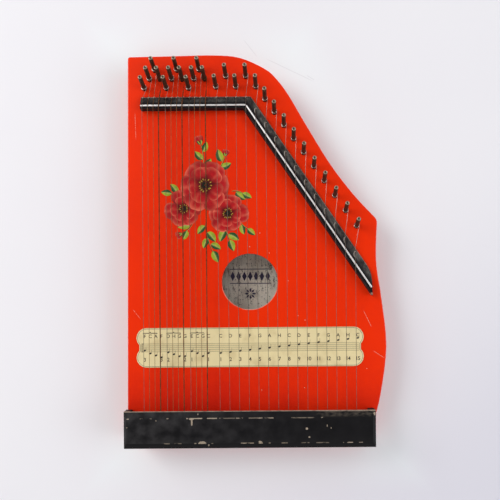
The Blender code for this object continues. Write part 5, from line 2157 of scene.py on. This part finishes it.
@dataclass
class Cover:
    """The black cover over the hitch pins, worn to the wood along its arrises."""

    arris: float = 0.7 * MM
    front_bevel: float = 7.8 * MM
    tail_bevel: float = 4.6 * MM
    worn_bevel: float = 6.6 * MM
    drop: float = 3.4 * MM
    chips: tuple[tuple[float, float, float, float], ...] = (
        (-75.9, -202.6, 1.1, 4.8), (-76.4, -198.9, 3.2, 1.4), (-63.8, -226.4, 4.4, 1.7),
        (-56.3, -229.8, 0.9, 1.5), (3.8, -225.9, 2.4, 1.2), (58.2, -211.0, 1.5, 1.6),
        (61.1, -220.9, 1.1, 1.1), (82.0, -207.7, 0.6, 1.4), (86.6, -210.4, 0.6, 0.9),
        (-117.6, -200.6, 0.7, 0.7), (-68.9, -193.6, 0.6, 1.0), (-150.6, -198.6, 1.6, 0.5),
        (-151.8, -208.4, 1.0, 0.4), (137.8, -194.6, 1.5, 2.2),
    )
    front_wear: tuple[Span, ...] = (
        (-151.9, -149.3, 0.6), (-137.7, -133.7, 0.4), (-125.3, -122.7, 0.3), (-106.0, -103.9, 0.7),
        (-83.2, -80.5, 1.0), (-79.0, -64.4, 1.0), (-58.3, -46.6, 0.9), (-44.6, -26.0, 0.35),
        (-25.6, -16.5, 0.65), (-10.5, 1.8, 0.5), (1.8, 6.4, 0.8), (8.0, 13.2, 0.4),
        (13.2, 18.4, 0.8), (39.2, 66.0, 0.45), (74.0, 76.7, 0.9),
    )
    tail_wear: tuple[Span, ...] = (
        (-111.3, -102.9, 0.45), (-96.7, -88.6, 0.35), (-73.8, -71.7, 0.7), (-69.1, -59.2, 1.0),
        (-54.1, -52.0, 0.5), (-19.7, -4.0, 0.75), (1.2, 6.4, 1.0), (13.2, 15.3, 0.5),
        (27.8, 35.0, 0.55), (51.3, 60.1, 0.4), (68.3, 84.0, 0.4), (99.6, 101.4, 0.5),
        (104.8, 111.1, 0.9), (118.3, 122.4, 0.5), (137.1, 138.6, 0.6),
    )

    def build(self, black: BlackPaint) -> None:
        """Makes the cover with softened arrises and its wear.

        Args:
            black: its finish.
        """
        mesh = merged_copy("hitch_pin_cover", "black_cover")
        low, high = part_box("hitch_pin_cover")
        places = np.empty(len(mesh.vertices) * 3, np.float32)
        mesh.vertices.foreach_get("co", places)
        places = places.reshape(-1, 3)
        at_tail = places[:, 1] < low.y + self.tail_bevel + 0.1 * MM
        places[(places[:, 2] > high.z - 0.1 * MM) & at_tail, 1] += self.worn_bevel - self.tail_bevel
        mesh.vertices.foreach_set("co", places.ravel())
        cover = new_piece("black_cover", mesh, self.paint(black), COVER)
        softened(cover, self.arris, 3)
        cover.modifiers["arris"].loop_slide = False
        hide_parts("hitch_pin_cover")

    def paint(self, black: BlackPaint) -> Material:
        """Black paint that is worn along the cover's edges, chipped in places, a little dusty, and painted
        lighter to the left, where the light falls.

        Args:
            black: the finish.

        Returns:
            The material.
        """
        low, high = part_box("hitch_pin_cover")
        paint = Paint(black.name)
        fine = paint.noise(1.2 * MM, 4.0, offset=1.5)
        ragged = paint.noise(2.6 * MM, 4.0, paint.stretched(0.5, 1.0, 1.0), 8.0)
        front, back = high.y - self.front_bevel, low.y + self.worn_bevel
        on_top = paint.z.step(high.z - 1.2 * MM, high.z - 0.5 * MM)
        spans = self.worn(paint, self.front_wear, low.x, high.x) * on_top
        wear = self.line(paint.y + (ragged - 0.5) * 0.8 * MM, front, 0.75 * MM) * spans
        spans = self.worn(paint, self.tail_wear, low.x, high.x) * on_top
        wear = wear.most(self.line(paint.y + (ragged - 0.5) * 1.2 * MM, back, 0.8 * MM) * spans)
        wear = wear * ragged.step(0.36, 0.50)
        to_right = paint.x.step(60 * MM, 90 * MM)
        lip = paint.y.step(high.y - 0.9 * MM - to_right * 0.7 * MM, high.y - 0.5 * MM)
        lip = lip * paint.z.step(high.z - self.drop - 3.0 * MM, high.z - self.drop - 2.0 * MM)
        wear = wear.most(lip * (ragged.step(0.25, 0.6) * 0.5 + 0.25))
        for x, y, across, along in self.chips:
            blob = paint.blob(x * MM, y * MM, across * MM, along * MM, fine * 0.9 - 0.35)
            wear = wear.most(blob * paint.z.step(high.z - 5.0 * MM, high.z - 4.0 * MM) * 0.85)
        scuff = fine.step(0.68, 0.76) * paint.noise(20 * MM, 2.0, offset=3.0).step(0.5, 0.7) * 0.3
        brown = to_right * self.line(paint.y, high.y - 3.5 * MM, 4.5 * MM) * ragged.step(0.35, 0.7) * 0.14
        # Dust and painted sheen: greyer to the left, where the light falls, over a little dust all along, and
        # none on the tail bevel.
        dust_and_sheen = paint.x.step(0.10, -0.16) * 0.95 + 0.1
        dust_and_sheen = dust_and_sheen * paint.y.step(back - 0.4 * MM, back + 0.4 * MM)
        return paint.done(black.colours(paint, wear.most(scuff).most(brown) * 0.95, dust_and_sheen))

    @staticmethod
    def worn(paint: Paint, spans: Sequence[Span], low_x: float, high_x: float) -> Value:
        """How far an arris is worn along X, from a ramp with sharp stops.

        Args:
            paint: the material's nodes.
            spans: where each worn stretch starts and ends, in millimetres, and how worn it is.
            low_x, high_x: X where the ramp starts and ends.

        Returns:
            The wear, from 0 to 1.
        """
        length = high_x - low_x
        stops = [(0.0, (0.0, 0.0, 0.0))]
        last = None
        for start, end, amount in spans:
            place = (start * MM - low_x) / length
            if last is not None and abs(place - last) < 1e-6:
                stops.pop()
            stops.append((place, (amount, amount, amount)))
            last = (end * MM - low_x) / length
            stops.append((last, (0.0, 0.0, 0.0)))
        sockets = {"Fac": (paint.x - low_x) / length}
        ramp = paint.node("ShaderNodeValToRGB", {"stops": stops}, sockets)
        ramp.color_ramp.interpolation = "CONSTANT"
        return Value(paint, ramp.outputs["Color"])

    @staticmethod
    def line(value: Value, at: float, half: float) -> Value:
        """1 on a line of a coordinate and 0 beyond its half width."""
        return abs(value - at).step(half, half * 0.4)


def main() -> None:
    """Builds the stage and each sub-assembly in order."""
    logging.basicConfig(level=logging.INFO, format="%(message)s")
    bpy.context.scene.view_settings.view_transform = "Standard"
    plan = StringPlan()
    steel = DrawnWire("string_steel", (0.165, 0.135, 0.11), (0.12, 0.08, 0.055)).make()
    bronze = DrawnWire("string_bronze", (0.24, 0.125, 0.05), (0.13, 0.065, 0.03)).make()
    nickel = Metal("nickel", (0.94, 0.93, 0.92), (0.62, 0.55, 0.46), 0.40, 0.05, metallic=0.7).make()
    wood = BareWood("bare_wood").make()
    hole = SoundHole()
    inside = (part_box("back_board")[1].z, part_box("soundboard")[0].z)
    lacquer = RedLacquer().make(*inside, plan.board_top, hole)
    Stage().build(plan.board_top)
    Box().build(lacquer, wood)
    label_ink = Ink("label_ink", (0.035, 0.028, 0.075), (0.16, 0.13, 0.18)).make()
    HoleLabel().build(hole.x, hole.y, inside[0], label_ink)
    FlowerSpray().build(plan.board_top, PetalPaint().make())
    NoteStrip().build(plan, AgedCard(), Ink("print_ink"))
    Bridges().build(plan, BlackPaint("bridge_paint"), nickel, wood)
    Pins().build(plan, PinSteel().make())
    Strings().build(plan, steel, bronze, WoundWire().make())
    Cover().build(BlackPaint("cover_paint"))


if __name__ == "__main__":
    main()
